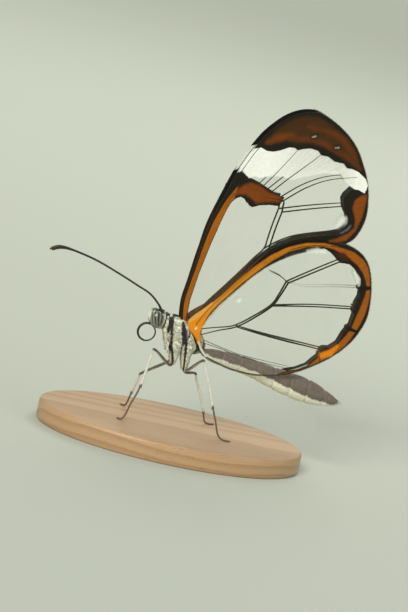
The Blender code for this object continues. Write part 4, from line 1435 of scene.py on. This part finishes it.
@dataclass
class Body:
    """Head, thorax, coxae, palps and abdomen under one fine skin with a coat of scale hairs."""

    coat_depth: float = 0.09
    voxel: float = 0.075
    sides: int = 40
    least: float = 0.05
    head: tuple[Spot, Spot] = ((-4.6, 0.0, 14.55), (0.82, 1.15, 1.25))
    lumps: tuple[tuple[Spot, Spot], ...] = (
        ((-4.05, 0.0, 14.2), (0.55, 0.6, 0.85)), ((-5.25, 0.0, 14.55), (0.3, 0.5, 0.8)))
    paired_lumps: tuple[tuple[Spot, Spot], ...] = (
        ((-3.85, 0.42, 14.95), (0.26, 0.38, 0.42)), ((-2.15, 1.12, 14.72), (0.62, 0.26, 0.42)),
        ((-0.35, 1.05, 14.35), (0.75, 0.30, 0.40)))
    thorax: tuple[Station, ...] = (
        (-4.0, 15.3, 13.2, 0.70), (-3.2, 15.45, 12.3, 1.15), (-2.4, 15.4, 11.6, 1.45),
        (-1.4, 15.25, 11.2, 1.60), (-0.4, 14.9, 11.1, 1.55), (0.4, 14.2, 11.2, 1.30),
        (1.0, 13.4, 11.5, 0.95), (1.35, 12.8, 11.9, 0.50))
    abdomen: tuple[Station, ...] = (
        (1.0, 12.45, 11.5, 0.45), (1.65, 12.25, 11.1, 0.50), (2.5, 12.35, 10.65, 0.75),
        (4.4, 12.38, 10.35, 0.88), (6.9, 12.22, 9.95, 0.94), (9.5, 11.85, 9.25, 0.98),
        (11.2, 11.62, 8.75, 1.02), (13.8, 11.3, 8.2, 1.06), (15.6, 10.85, 8.1, 0.98),
        (17.2, 10.15, 8.2, 0.74), (18.4, 9.5, 8.55, 0.42), (19.0, 9.15, 8.85, 0.16))
    coxae: tuple[tuple[Station, ...], ...] = (
        ((-1.9, 0.80, 12.4, 0.72), (-2.0, 0.76, 11.2, 0.62), (-2.0, 0.60, 9.75, 0.36)),
        ((-0.65, 0.80, 12.2, 0.74), (-0.6, 0.76, 10.9, 0.60), (-0.4, 0.58, 9.2, 0.34)),
        ((-3.55, 0.55, 13.4, 0.40), (-3.5, 0.70, 12.9, 0.30), (-3.4, 0.85, 12.3, 0.20)))
    palp: tuple[Station, ...] = (
        (-5.0, .42, 13.95, .24), (-5.5, .42, 14.08, .24), (-5.8, .42, 14.5, .21), (-5.85, .42, 15.0, .18),
        (-5.78, .42, 15.4, .14), (-5.68, .42, 15.7, .06))
    markings: Markings = Markings()

    def rings(self, stations: Sequence[Station], spacing: float, notch: bool = False) -> Array:
        """Upright oval rings through stations.

        Args:
            stations: x, top, bottom and half width of each.
            spacing: distance between rings.
            notch: whether the abdomen's joints are drawn in.

        Returns:
            One row of points a ring.
        """
        around = np.linspace(0, 2 * math.pi, self.sides, endpoint=False)
        result = []
        for x, top, bottom, half in smooth_line(stations, spacing):
            scale = 1.0
            if notch:
                part = ring_part(x)
                scale = 1.0 + 0.015 * math.sin(part * math.pi) - 0.075 * float(step(part, 0.8, 1.0))
                scale -= 0.05 * float(1 - step(part, 0.0, 0.1))
            height = max((top - bottom) / 2 * scale - self.coat_depth, self.least)
            width = max(half * scale - self.coat_depth, self.least)
            ring_z = (top + bottom) / 2 + height * np.sin(around)
            result.append(np.stack([np.full(self.sides, x), width * np.cos(around), ring_z], axis=1))
        return np.array(result)[:, ::-1]

    def forms(self) -> list[tuple[Array, Array]]:
        """The closed forms that the skin is drawn over."""
        made = [loft(self.rings(self.thorax, 0.3)), loft(self.rings(self.abdomen, 0.12, True))]
        made.append(egg(self.head[0], np.subtract(self.head[1], self.coat_depth)))
        made += [egg(centre, radii) for centre, radii in self.lumps]
        for side in Side:
            mirror = (1, side.value, 1)
            made += [egg(np.multiply(centre, mirror), radii) for centre, radii in self.paired_lumps]
            for lobe in (*self.coxae, self.palp):
                line = smooth_line(np.multiply(lobe, (*mirror, 1)), 0.12)
                radii = np.maximum(line[:, 3] - self.coat_depth * 0.6, self.least)
                made.append(rod(line[:, :3], radii, 20)[:2])
        return made

    def skin(self) -> tuple[Array, Array, Array]:
        """Draws one skin over all the forms.

        Returns:
            Its points, triangles and outward directions.
        """
        forms = Draft()
        for points, faces in self.forms():
            forms.add(points, faces)
        mesh = new_mesh("skin_forms", np.vstack(forms.points), np.vstack(forms.faces))
        item = new_item("skin_forms", mesh)
        remesh = item.modifiers.new("one skin", "REMESH")
        remesh.mode = "VOXEL"
        remesh.voxel_size = self.voxel
        smooth = item.modifiers.new("soft joins", "SMOOTH")
        smooth.factor = 0.5
        smooth.iterations = 3
        triangles = item.modifiers.new("triangles", "TRIANGULATE")
        triangles.quad_method = "SHORTEST_DIAGONAL"
        bpy.context.view_layer.update()
        made = item.evaluated_get(bpy.context.evaluated_depsgraph_get()).to_mesh()
        points = triples(made.vertices, "co", np.float32).astype(float)
        faces = triples(made.polygons, "vertices", np.int32)
        normals = triples(made.vertices, "normal", np.float32).astype(float)
        bpy.data.objects.remove(item, do_unlink=True)
        bpy.data.meshes.remove(mesh)
        return points, faces, normals

    def spots(self, points: Array) -> Array:
        """The skin's own unwrap: along the body, and round it from the belly.

        Args:
            points: the skin's points.

        Returns:
            One place on the map a point.
        """
        x, y, z = points.T
        line_x = (-6.2, -4.6, -3.2, -1.4, 0.4, 1.65, 4.4, 9.5, 13.8, 17.2, 19.2)
        line_z = (14.6, 14.55, 13.9, 13.2, 12.7, 11.7, 11.35, 10.5, 9.7, 9.15, 9.0)
        turn = np.arctan2(y, np.interp(x, line_x, line_z) - z) / (2 * math.pi)
        return np.stack([0.02 + (x + 6.5) / 26.0 * 0.96, 0.5 + turn * 0.96], axis=1)

    def lie(self, roots: Array, outward: Array) -> Array:
        """Which way the coat lies along the skin.

        Args:
            roots: the tufts' places.
            outward: the skin's directions there.

        Returns:
            One unit direction a tuft.
        """
        x = roots[:, 0]
        way = np.zeros_like(roots)
        way[:, 0] = np.where(x > 1.4, 1.0, np.where(x < -4.0, 0.5, 0.4))
        way[:, 2] = np.where(x > 1.4, -0.12, np.where(x < -5.3, 1.0, -1.0))
        on_top = (outward[:, 2] > 0.6) & (x < 1.4)
        way[on_top] = (1.0, 0.0, -0.1)
        way -= outward * np.sum(way * outward, axis=1, keepdims=True)
        return way / np.maximum(np.linalg.norm(way, axis=1, keepdims=True), 1e-6)

    def coat(self, name: str, slot: str, finish: Material, chosen: Array, count: int,
             length: Array, stand: float, seed: int) -> None:
        """Lays tapered tufts over part of the skin.

        Args:
            name: the piece's name.
            slot: the record's material slot.
            finish: its material.
            chosen: which triangles of the skin take tufts, as weights.
            count: how many tufts.
            length: mean length of a tuft at each of the skin's points.
            stand: how far a tuft's tip stands off the skin, as a share of its length.
            seed: start of the random draw.
        """
        rng = np.random.default_rng(seed)
        a, b, c = (self.points[self.faces[:, k]] for k in range(3))
        area = np.linalg.norm(np.cross(b - a, c - a), axis=1) * chosen
        face = rng.choice(len(self.faces), count, p=area / area.sum())
        u, v = rng.uniform(0, 1, count), rng.uniform(0, 1, count)
        flip = u + v > 1
        u[flip], v[flip] = 1 - u[flip], 1 - v[flip]
        weights = np.stack([1 - u - v, u, v], axis=1)
        corners = self.faces[face]
        roots = np.einsum("nk,nkd->nd", weights, self.points[corners])
        outward = np.einsum("nk,nkd->nd", weights, self.normals[corners])
        outward /= np.linalg.norm(outward, axis=1, keepdims=True)
        lengths = np.einsum("nk,nk->n", weights, length[corners]) * rng.uniform(0.65, 1.25, count)
        way = self.lie(roots, outward)
        across = np.cross(outward, way)
        swing = rng.normal(0, 0.28, count)[:, None]
        way = way * np.cos(swing) + across * np.sin(swing)
        across = np.cross(outward, way)
        rise = stand * rng.uniform(0.5, 1.4, count)
        width = lengths[:, None] * 0.11 + 0.012
        rows = []
        for part, thick in ((0.0, 1.0), (0.5, 0.85)):
            middle = roots + way * (lengths * part)[:, None]
            middle = middle + outward * (lengths * rise * part**0.7 - 0.03)[:, None]
            rows += [middle + across * width * thick, middle - across * width * thick,
                     middle + outward * width * thick * 0.7]
        tip = roots + way * lengths[:, None] + outward * (lengths * rise - 0.01)[:, None]
        points = np.stack([*rows, tip], axis=1)
        blade = np.array([(0, 2, 5), (0, 5, 3), (2, 1, 4), (2, 4, 5), (1, 0, 3), (1, 3, 4),
                          (3, 5, 6), (5, 4, 6), (4, 3, 6), (0, 1, 2)])
        faces = (blade[None] + 7 * np.arange(count)[:, None, None]).reshape(-1, 3)
        patch = np.array([(-0.5, -0.5), (0.5, -0.5), (0, -0.5), (-0.4, 0.1), (0.4, 0.1), (0, 0.1), (0, 0.5)])
        spots = (self.spots(roots)[:, None] + patch[None] * PATCH).reshape(-1, 2)
        values = {key: np.repeat(value, 7) for key, value in self.markings.fields(roots).items()}
        values["shade"] = np.maximum(values["shade"], np.repeat(rng.uniform(0, 1, count) ** 2, 7))
        Draft().add(points.reshape(-1, 3), faces, 0, spots, **values).build(name, [finish], slot)

    def build(self) -> None:
        """Makes the skin and its coats."""
        self.points, self.faces, self.normals = self.skin()
        draft = Draft()
        draft.add(self.points, self.faces, 0, self.spots(self.points), **self.markings.fields(self.points))
        draft.build("body_skin", [BodyFinish("body_skin_scales").make()], "striped_body",
                    "head", "thorax", "abdomen", *(side.node("palp") for side in Side))
        hair = BodyFinish("body_coat_hairs", lump=0.05).make()
        x, _, z = self.points.T
        middle_x = self.points[self.faces].mean(axis=1)[:, 0]
        front = np.interp(x, (-6, -4.9, -4.2, -3.2, -1.5, 1.2), (0.13, 0.15, 0.24, 0.32, 0.34, 0.26))
        front = np.where((z < 11.5) & (x < 1.4), 0.24, front)
        dense_head = (middle_x < 1.7) * np.interp(middle_x, (-6, -4.3, -4.0), (2.2, 2.0, 1.0))
        self.coat("thorax_coat", "striped_body", hair, dense_head, 12500, front, 0.22, 11)
        rear = np.interp(x, (1.4, 17.5, 18.6), (0.2, 0.2, 0.34))
        self.coat("abdomen_coat", "abdomen_scales", hair, middle_x >= 1.4, 9500, rear, 0.12, 12)


@dataclass
class Eye:
    """A large faceted eye, banded from top to bottom and set into the side of the head."""

    centre: Spot = (-5.08, 0.93, 14.54)
    radii: Spot = (0.78, 0.56, 1.02)
    bands: tuple[Stroke, ...] = (
        ((-5.75, 15.2, .02), (-5.72, 14.8, .04), (-5.6, 14.3, .04), (-5.45, 14.0, .02)),
        ((-5.45, 15.55, .04), (-5.42, 15.0, .09), (-5.34, 14.6, .09), (-5.2, 14.2, .07), (-5.0, 13.95, .04)),
        ((-5.12, 15.7, .05), (-5.02, 15.1, .11), (-4.96, 14.6, .11), (-4.86, 14.2, .08), (-4.72, 13.95, .05)),
        ((-4.78, 15.6, .05), (-4.66, 15.3, .09), (-4.58, 14.8, .11), (-4.56, 14.4, .08), (-4.6, 14.1, .04)))

    def build(self, finish: Material) -> None:
        """Makes both eyes.

        Args:
            finish: its material.
        """
        for side in Side:
            centre = np.multiply(self.centre, (1, side.value, 1))
            points, faces = egg(centre, self.radii, 56, 40)
            draft = Draft().add(points, faces, band=banded(points[:, [0, 2]], self.bands))
            draft.build(side.node("eye") + "_facets", [finish], "eye", side.node("eye"))


@dataclass
class Mouth:
    """The coiled proboscis under the head."""

    centre: Flat = (-5.74, 12.68)
    radius: float = 1.10
    shrink: float = 0.085
    start: float = math.radians(48.0)
    turns: float = 1.6
    tube: float = 0.10
    steps: int = 330

    def build(self, finish: Material) -> None:
        """Makes the ringed coil.

        Args:
            finish: its material.
        """
        part = np.linspace(0, 1, self.steps)
        angle = self.start + 2 * math.pi * self.turns * part
        lead = (1 - step(part, 0.0, 0.05)) * 0.3
        radius = self.radius - self.shrink * self.turns * part + lead
        x = self.centre[0] + radius * np.cos(angle)
        z = self.centre[1] + radius * np.sin(angle)
        line = np.stack([x, 0.05 * np.sin(angle * 0.5), z], axis=1)
        ridge = 0.5 + 0.5 * np.cos(part * self.steps * math.pi / 2)
        thick = self.tube * (1.15 - 0.45 * part) * (0.94 + 0.06 * ridge)
        points, faces, owner = rod(line, thick, 12)
        draft = Draft().add(points, faces, ring=(0.55 * ridge)[owner], tip=(part > 0.9)[owner])
        draft.build("proboscis_coil", [finish], "dark_cuticle", "proboscis")


@dataclass
class Antenna:
    """A thin ringed antenna with a slender club."""

    axis: Route = (
        (-4.75, .36, 15.5), (-5.1, .38, 16.15), (-6.5, .65, 17.3), (-8.3, .95, 18.05),
        (-10.7, 1.40, 19.0), (-13.85, 1.85, 20.1), (-16.8, 2.20, 20.75), (-18.25, 2.32, 20.85),
        (-19.05, 2.40, 20.6), (-19.45, 2.45, 20.3))
    sizes: Outline = (
        (0, .18), (0.02, .15), (0.05, .105), (0.5, .10), (0.82, .115), (0.93, .18), (0.98, .15), (1, .06))
    swing: Flat = (0.194, -0.18)
    joint: float = 0.33
    spacing: float = 0.055

    def line(self, side: Side) -> list[Spot]:
        """The left line, or the right one swung back so that the two lie in one line of sight."""
        if side is Side.LEFT:
            return [(x, -y, z) for x, y, z in self.axis]
        return [(x + self.swing[0] * 2 * y, y, z + self.swing[1] * 2 * y) for x, y, z in self.axis]

    def build(self, finish: Material) -> None:
        """Makes both antennae.

        Args:
            finish: its material.
        """
        for side in Side:
            fine = smooth_line(self.line(side), self.spacing)
            part = np.linspace(0, 1, len(fine))
            cycle = part * self.spacing * len(fine) / self.joint % 1.0
            swell = 1 + 0.14 * np.sin(cycle * math.pi) ** 0.6
            size = np.interp(part, *np.transpose(self.sizes))
            points, faces, owner = rod(fine, size * swell, 12)
            pale = step(cycle, 0.78, 0.95) * np.interp(part, (0, .6, .85), (0.9, 0.6, 0.15))
            draft = Draft().add(points, faces, ring=pale[owner], tip=step(part, 0.9, 0.99)[owner])
            node = side.node("antenna")
            draft.build(node + "_rings", [finish], "dark_cuticle", node)


# height of the solids' foot lines
FOOT_Z = 2.96


@dataclass
class Leg:
    """One leg: femur, shin with spurs, five foot joints and two claws, standing on the base.

    A folded foreleg is small and furry and stands on nothing.
    """

    name: str
    side: Side
    axis: Route
    knee: int
    ankle: int
    thick: tuple[float, float, float] = (0.17, 0.145, 0.11)
    folded: bool = False
    foot_joints: tuple[float, ...] = (0.42, 0.6, 0.74, 0.87)

    def settle(self, line: Array) -> Array:
        """Lowers the foot so that its thin rendered joints stand on the base.

        Args:
            line: the leg's middle line.

        Returns:
            The lowered line.
        """
        drop = FOOT_Z - BASE_TOP - self.thick[2] * 1.1
        line = line.copy()
        line[:, 2] -= drop * step(-line[:, 2], -4.6, -3.1)
        return line

    def radii(self, along: Array, knee: float, ankle: float) -> Array:
        """Radius of the leg at distances along it.

        Args:
            along: distances from the leg's start.
            knee: the knee's distance.
            ankle: the ankle's distance.

        Returns:
            One radius a distance.
        """
        femur, shin, foot = self.thick
        end = along[-1]
        stations = (
            (0, femur * 0.8), (0.3, femur), (knee * 0.5, femur * 1.1), (knee - 0.15, femur * 0.85),
            (knee, femur * 0.95), (knee + 0.2, shin * 0.9), (ankle - 0.3, shin * 1.1),
            (ankle, shin * 1.15), (ankle + 0.2, foot), (end, foot * 0.85))
        size = np.interp(along, *np.transpose(stations))
        joint = (along - ankle) / max(end - ankle, 1e-6)
        near = np.min(np.abs(joint[:, None] - np.array(self.foot_joints)), axis=1) * (end - ankle)
        pinch = 0.22 * (1 - step(near, 0.0, 0.12)) * (joint > 0)
        flare = 0.10 * step(near, 0.25, 0.08) * (joint > 0)
        return size * (1 - pinch + flare)

    def spines(self, draft: Draft, line: Array, size: Array, along: Array,
               knee: float, ankle: float) -> None:
        """Adds short spines down the shin and foot, and spurs at the ankle.

        Args:
            draft: the leg's draft.
            line: the leg's middle line.
            size: its radius at each of the line's places.
            along: their distances along it.
            knee: the knee's distance.
            ankle: the ankle's distance.
        """
        rng = np.random.default_rng(len(self.name) * 31 + (self.side.value + 2))
        ways = np.gradient(line, axis=0)
        ways /= np.linalg.norm(ways, axis=1, keepdims=True)
        places = [*np.arange(knee + 0.4, ankle, 0.22), *np.arange(ankle + 0.15, along[-1], 0.17)]
        if self.folded:
            places = np.repeat(np.arange(0.3, along[-1], 0.07), 5)
        for k, stop in enumerate([*places, ankle - 0.05, ankle - 0.05]):
            index = int(np.searchsorted(along, stop).clip(1, len(along) - 2))
            way = ways[index]
            turn = rng.uniform(0, 2 * math.pi)
            across = np.cross(way, (math.cos(turn), math.sin(turn), 0.3))
            across /= max(np.linalg.norm(across), 1e-6)
            spur = k >= len(places)
            reach = 0.3 if spur else rng.uniform(0.09, 0.16) * (1.6 if self.folded else 1.0)
            root = line[index] + across * size[index] * 0.7
            tip = root + (way * 0.8 + across * 0.6) * reach
            if tip[2] < BASE_TOP + 0.02:
                continue
            middle = (root + tip) / 2 + way * 0.01
            radii = (0.03 if spur else 0.016) * np.array([1.0, 0.7, 0.15])
            points, faces, _ = rod(np.array([root, middle, tip]), radii, 5)
            draft.add(points, faces, dark=rng.uniform(0.0, 0.45) if self.folded else 0.85)

    def claws(self, draft: Draft, line: Array) -> None:
        """Adds two hooked claws and the pad between them.

        Args:
            draft: the leg's draft.
            line: the leg's middle line.
        """
        end = line[-1]
        way = line[-1] - line[-4]
        way = way / np.linalg.norm(way)
        across = np.cross(way, (0, 0, 1))
        across /= np.linalg.norm(across)
        up = np.cross(across, way)
        for side in Side:
            spread = across * side.value
            hook = smooth_line((end - way * 0.04 + spread * 0.03,
                                end + way * 0.09 + spread * 0.08 + up * 0.02,
                                end + way * 0.17 + spread * 0.11 - up * 0.02,
                                end + way * 0.2 + spread * 0.11 - up * 0.06), 0.03)
            points, faces, _ = rod(hook, np.linspace(0.03, 0.008, len(hook)), 7)
            points[:, 2] = np.maximum(points[:, 2], BASE_TOP + 0.004)
            draft.add(points, faces, dark=1.0)
        points, faces = egg(end + way * 0.06 - up * 0.02, (0.06, 0.05, 0.03), 12, 8)
        points[:, 2] = np.maximum(points[:, 2], BASE_TOP + 0.004)
        draft.add(points, faces, dark=0.9)

    def build(self, finish: Material) -> None:
        """Makes the leg.

        Args:
            finish: its material.
        """
        given = np.multiply(self.axis, (1, self.side.value, 1))
        fine = smooth_line(given, 0.05)
        if not self.folded:
            fine = self.settle(fine)
        along = np.concatenate([[0.0], np.cumsum(np.linalg.norm(np.diff(fine, axis=0), axis=1))])
        knee, ankle = (float(along[np.argmin(np.linalg.norm(fine - given[k], axis=1))])
                       for k in (self.knee, self.ankle))
        size = self.radii(along, knee, ankle)
        points, faces, owner = rod(fine, size, 14)
        tones = (
            (0, 0.75), (knee - 0.4, 0.7), (knee - 0.1, 0.95), (knee + 0.15, 0.9), (knee + 0.4, 0.12),
            (ankle - 0.4, 0.15), (ankle, 0.6), (ankle + 1.5, 0.6), (along[-1], 0.9))
        dark = np.interp(along, *np.transpose(tones)) * (0.35 if self.folded else 1.0)
        below = (fine[owner, 2] - points[:, 2]) / size[owner]
        under = 0.35 * step(below, 0.0, 0.6) * (along[owner] < knee)
        draft = Draft().add(points, faces, dark=np.clip(dark[owner] - under, 0, 1))
        self.spines(draft, fine, size, along, knee, ankle)
        if not self.folded:
            self.claws(draft, fine)
        node = self.side.node(self.name)
        draft.build(node + "_joints", [finish], "leg_scales", node)


def make_legs() -> list[Leg]:
    """The six legs on the solids' own lines."""
    folded = ((-3.5, .70, 12.9), (-3.4, .95, 12.1), (-3.0, 1.0, 11.3), (-2.95, 1.0, 10.9))
    return [
        *(Leg("foreleg", side, folded, 1, 2, (0.13, 0.10, 0.08), True) for side in Side),
        Leg("midleg", Side.LEFT, (
            (-2.0, .5, 9.95), (-2.4, .85, 9.55), (-4.75, 2.50, 11.3), (-5.0, 2.55, 10.4),
            (-5.4, 2.70, 6.75), (-6.1, 2.80, 4.3), (-6.45, 2.88, 3.3), (-6.75, 2.95, FOOT_Z),
            (-7.2, 3.00, FOOT_Z)), 2, 4),
        Leg("midleg", Side.RIGHT, (
            (-2.0, .5, 9.95), (-2.5, .80, 9.35), (-4.8, 2.00, 7.3), (-4.95, 2.40, 6.6), (-5.15, 3.50, 4.5),
            (-5.3, 4.25, 3.3), (-5.5, 4.55, FOOT_Z), (-5.85, 4.85, FOOT_Z)), 2, 4),
        Leg("hindleg", Side.LEFT, (
            (-0.4, .5, 9.4), (-0.1, .95, 9.35), (1.08, 2.62, 11.2), (1.45, 2.70, 10.6), (2.3, 2.80, 8.9),
            (3.55, 2.95, 6.0), (4.5, 3.10, 3.95), (5.05, 3.22, 3.2), (5.6, 3.32, FOOT_Z),
            (6.35, 3.40, FOOT_Z)), 2, 5),
        Leg("hindleg", Side.RIGHT, (
            (-0.4, .5, 9.4), (0.1, .95, 8.7), (1.5, 2.20, 8.55), (1.85, 2.40, 7.9), (2.8, 2.80, 6.1),
            (3.9, 3.30, 3.9), (4.3, 3.50, 3.2), (4.8, 3.75, FOOT_Z), (5.5, 4.05, FOOT_Z)), 2, 5),
    ]


@dataclass
class Stand:
    """The oval wooden base with softened edges."""

    length: float = 32.0
    width: float = 22.0
    height: float = BASE_TOP
    soft: float = 0.35
    sides: int = 144

    def build(self, finish: Material) -> None:
        """Makes the base.

        Args:
            finish: its material.
        """
        turn = np.linspace(0, math.pi / 2, 7)
        top = [(self.soft * (1 - math.cos(t)), self.height - self.soft * (1 - math.sin(t))) for t in turn]
        profile = [(self.soft, 0.0), (self.soft * 0.3, self.soft * 0.25), (0.0, self.soft), *top,
                   (1.2, self.height), (3.0, self.height), (6.0, self.height)]
        around = np.linspace(0, 2 * math.pi, self.sides, endpoint=False)
        rings = []
        for inset, z in profile:
            x = (self.length / 2 - inset) * np.cos(around) - CENTRE_SHIFT
            y = (self.width / 2 - inset) * np.sin(around)
            rings.append(np.stack([x, y, np.full(self.sides, z)], axis=1))
        draft = Draft().add(*loft(np.array(rings)))
        piece = draft.build("stand_plinth", [finish], "stand_wood", "stand_base")
        piece.data.set_sharp_from_angle(angle=math.radians(38))


@dataclass
class Studio:
    """The pale seamless floor, the soft lamps and the camera."""

    aim: Spot = (0.34, 0.0, 17.15)
    back: Spot = (-0.188, -0.967, 0.174)
    right: Spot = (0.982, -0.191, 0.0)
    up: Spot = (0.033, 0.171, 0.985)
    roll: float = math.radians(13.9)
    distance: float = 350.0
    lens: float = 175.5
    floor_colour: Colour = seen(192, 197, 184)
    floor_start: float = -1500.0
    floor_width: float = 4400.0
    curve_start: float = 900.0
    curve_radius: float = 500.0
    backdrop_top: float = 1600.0
    key_from: Spot = (-230.0, -420.0, 330.0)
    key_strength: float = 2.45
    key_spread: float = 0.5
    key_colour: Colour = (1.0, 0.985, 0.95)
    air_colour: Colour = (0.95, 0.97, 0.94)
    air_strength: float = 0.36

    def floor(self) -> None:
        """A floor that curves up into the backdrop."""
        curve = np.linspace(0, math.pi / 2, 24)
        profile = [(self.floor_start, 0.0)]
        profile += [(self.curve_start + self.curve_radius * math.sin(t),
                     self.curve_radius * (1 - math.cos(t))) for t in curve]
        profile.append((self.curve_start + self.curve_radius, self.backdrop_top))
        half = self.floor_width / 2
        points = np.array([(x, y, z) for y, z in profile for x in (-half, half)]) * MM
        faces = np.array([(k, k + 1, k + 3, k + 2) for k in range(0, 2 * len(profile) - 2, 2)])
        mesh = new_mesh("studio_floor", points, faces)
        sheet = NodeSheet("studio_paper")
        darker = tuple(0.985 * c for c in self.floor_colour)
        sheet.shade(Base_Color=sheet.tint(sheet.noise(60.0), self.floor_colour, darker), Roughness=0.9,
                    Specular_IOR_Level=0.15)
        mesh.materials.append(sheet.material)
        new_item("studio_floor", mesh)

    def facing(self, item: bpy.types.Object, way: Vector) -> None:
        """Turns a lamp so that it shines against a direction."""
        item.rotation_euler = way.to_track_quat("Z", "Y").to_euler()

    def softbox(self, name: str, place: Spot, size: float, power: float, colour: Colour) -> None:
        """A soft square lamp that faces the object.

        Args:
            name: the lamp's name.
            place: where it stands.
            size: its side.
            power: its light in watts.
            colour: its colour.
        """
        light = bpy.data.lights.new(name, "AREA")
        light.size = size * MM
        light.energy = power
        light.color = colour
        item = new_item(name, light)
        item.location = Vector(place) * MM
        self.facing(item, item.location - Vector(self.aim) * MM)

    def window(self) -> None:
        """A wide, far key light."""
        light = bpy.data.lights.new("window_key", "SUN")
        light.energy = self.key_strength
        light.angle = self.key_spread
        light.color = self.key_colour
        self.facing(new_item("window_key", light), Vector(self.key_from))

    def sky(self) -> None:
        """The even light from all sides."""
        world = bpy.data.worlds.new("studio_air")
        world.use_nodes = True
        inputs = world.node_tree.nodes["Background"].inputs
        inputs["Color"].default_value = (*self.air_colour, 1)
        inputs["Strength"].default_value = self.air_strength
        bpy.context.scene.world = world

    def camera(self) -> None:
        """The camera at the photo's viewing angle."""
        data = bpy.data.cameras.new("camera")
        data.lens = self.lens
        data.sensor_width = 36.0
        data.clip_start = 0.01
        data.clip_end = 10.0
        back, right, up = (Vector(v).normalized() for v in (self.back, self.right, self.up))
        axis_x = right * math.cos(self.roll) + up * math.sin(self.roll)
        axis_y = up * math.cos(self.roll) - right * math.sin(self.roll)
        turn = Matrix((axis_x, axis_y, back)).transposed().to_4x4()
        item = new_item("camera", data)
        place = Vector(self.aim) * MM + back * self.distance * MM
        item.matrix_world = Matrix.Translation(place) @ turn
        bpy.context.scene.camera = item

    def build(self) -> None:
        """Sets up the floor, lamps, sky and camera."""
        self.floor()
        self.window()
        self.softbox("fill_softbox", (380, -260, 160), 300, 0.35, (0.95, 0.98, 1.0))
        self.softbox("back_softbox", (160, 320, 380), 260, 0.8, (1.0, 0.99, 0.96))
        self.sky()
        self.camera()
        bpy.context.scene.view_settings.view_transform = "Standard"
        bpy.context.scene.cycles.transparent_max_bounces = 24


def main() -> None:
    """Builds the classes in order."""
    logging.basicConfig(level=logging.INFO, format="%(message)s")
    Stand().build(WoodFinish().make())
    Body().build()
    Eye().build(EyeFinish().make())
    Mouth().build(HornFinish("proboscis_horn", dark=seen(34, 30, 24), ring=seen(70, 66, 54)).make())
    Antenna().build(HornFinish("antenna_horn").make())
    legs = LegFinish().make()
    for leg in make_legs():
        leg.build(legs)
    Forewing().build()
    Hindwing().build()
    Studio().build()


if __name__ == "__main__":
    main()
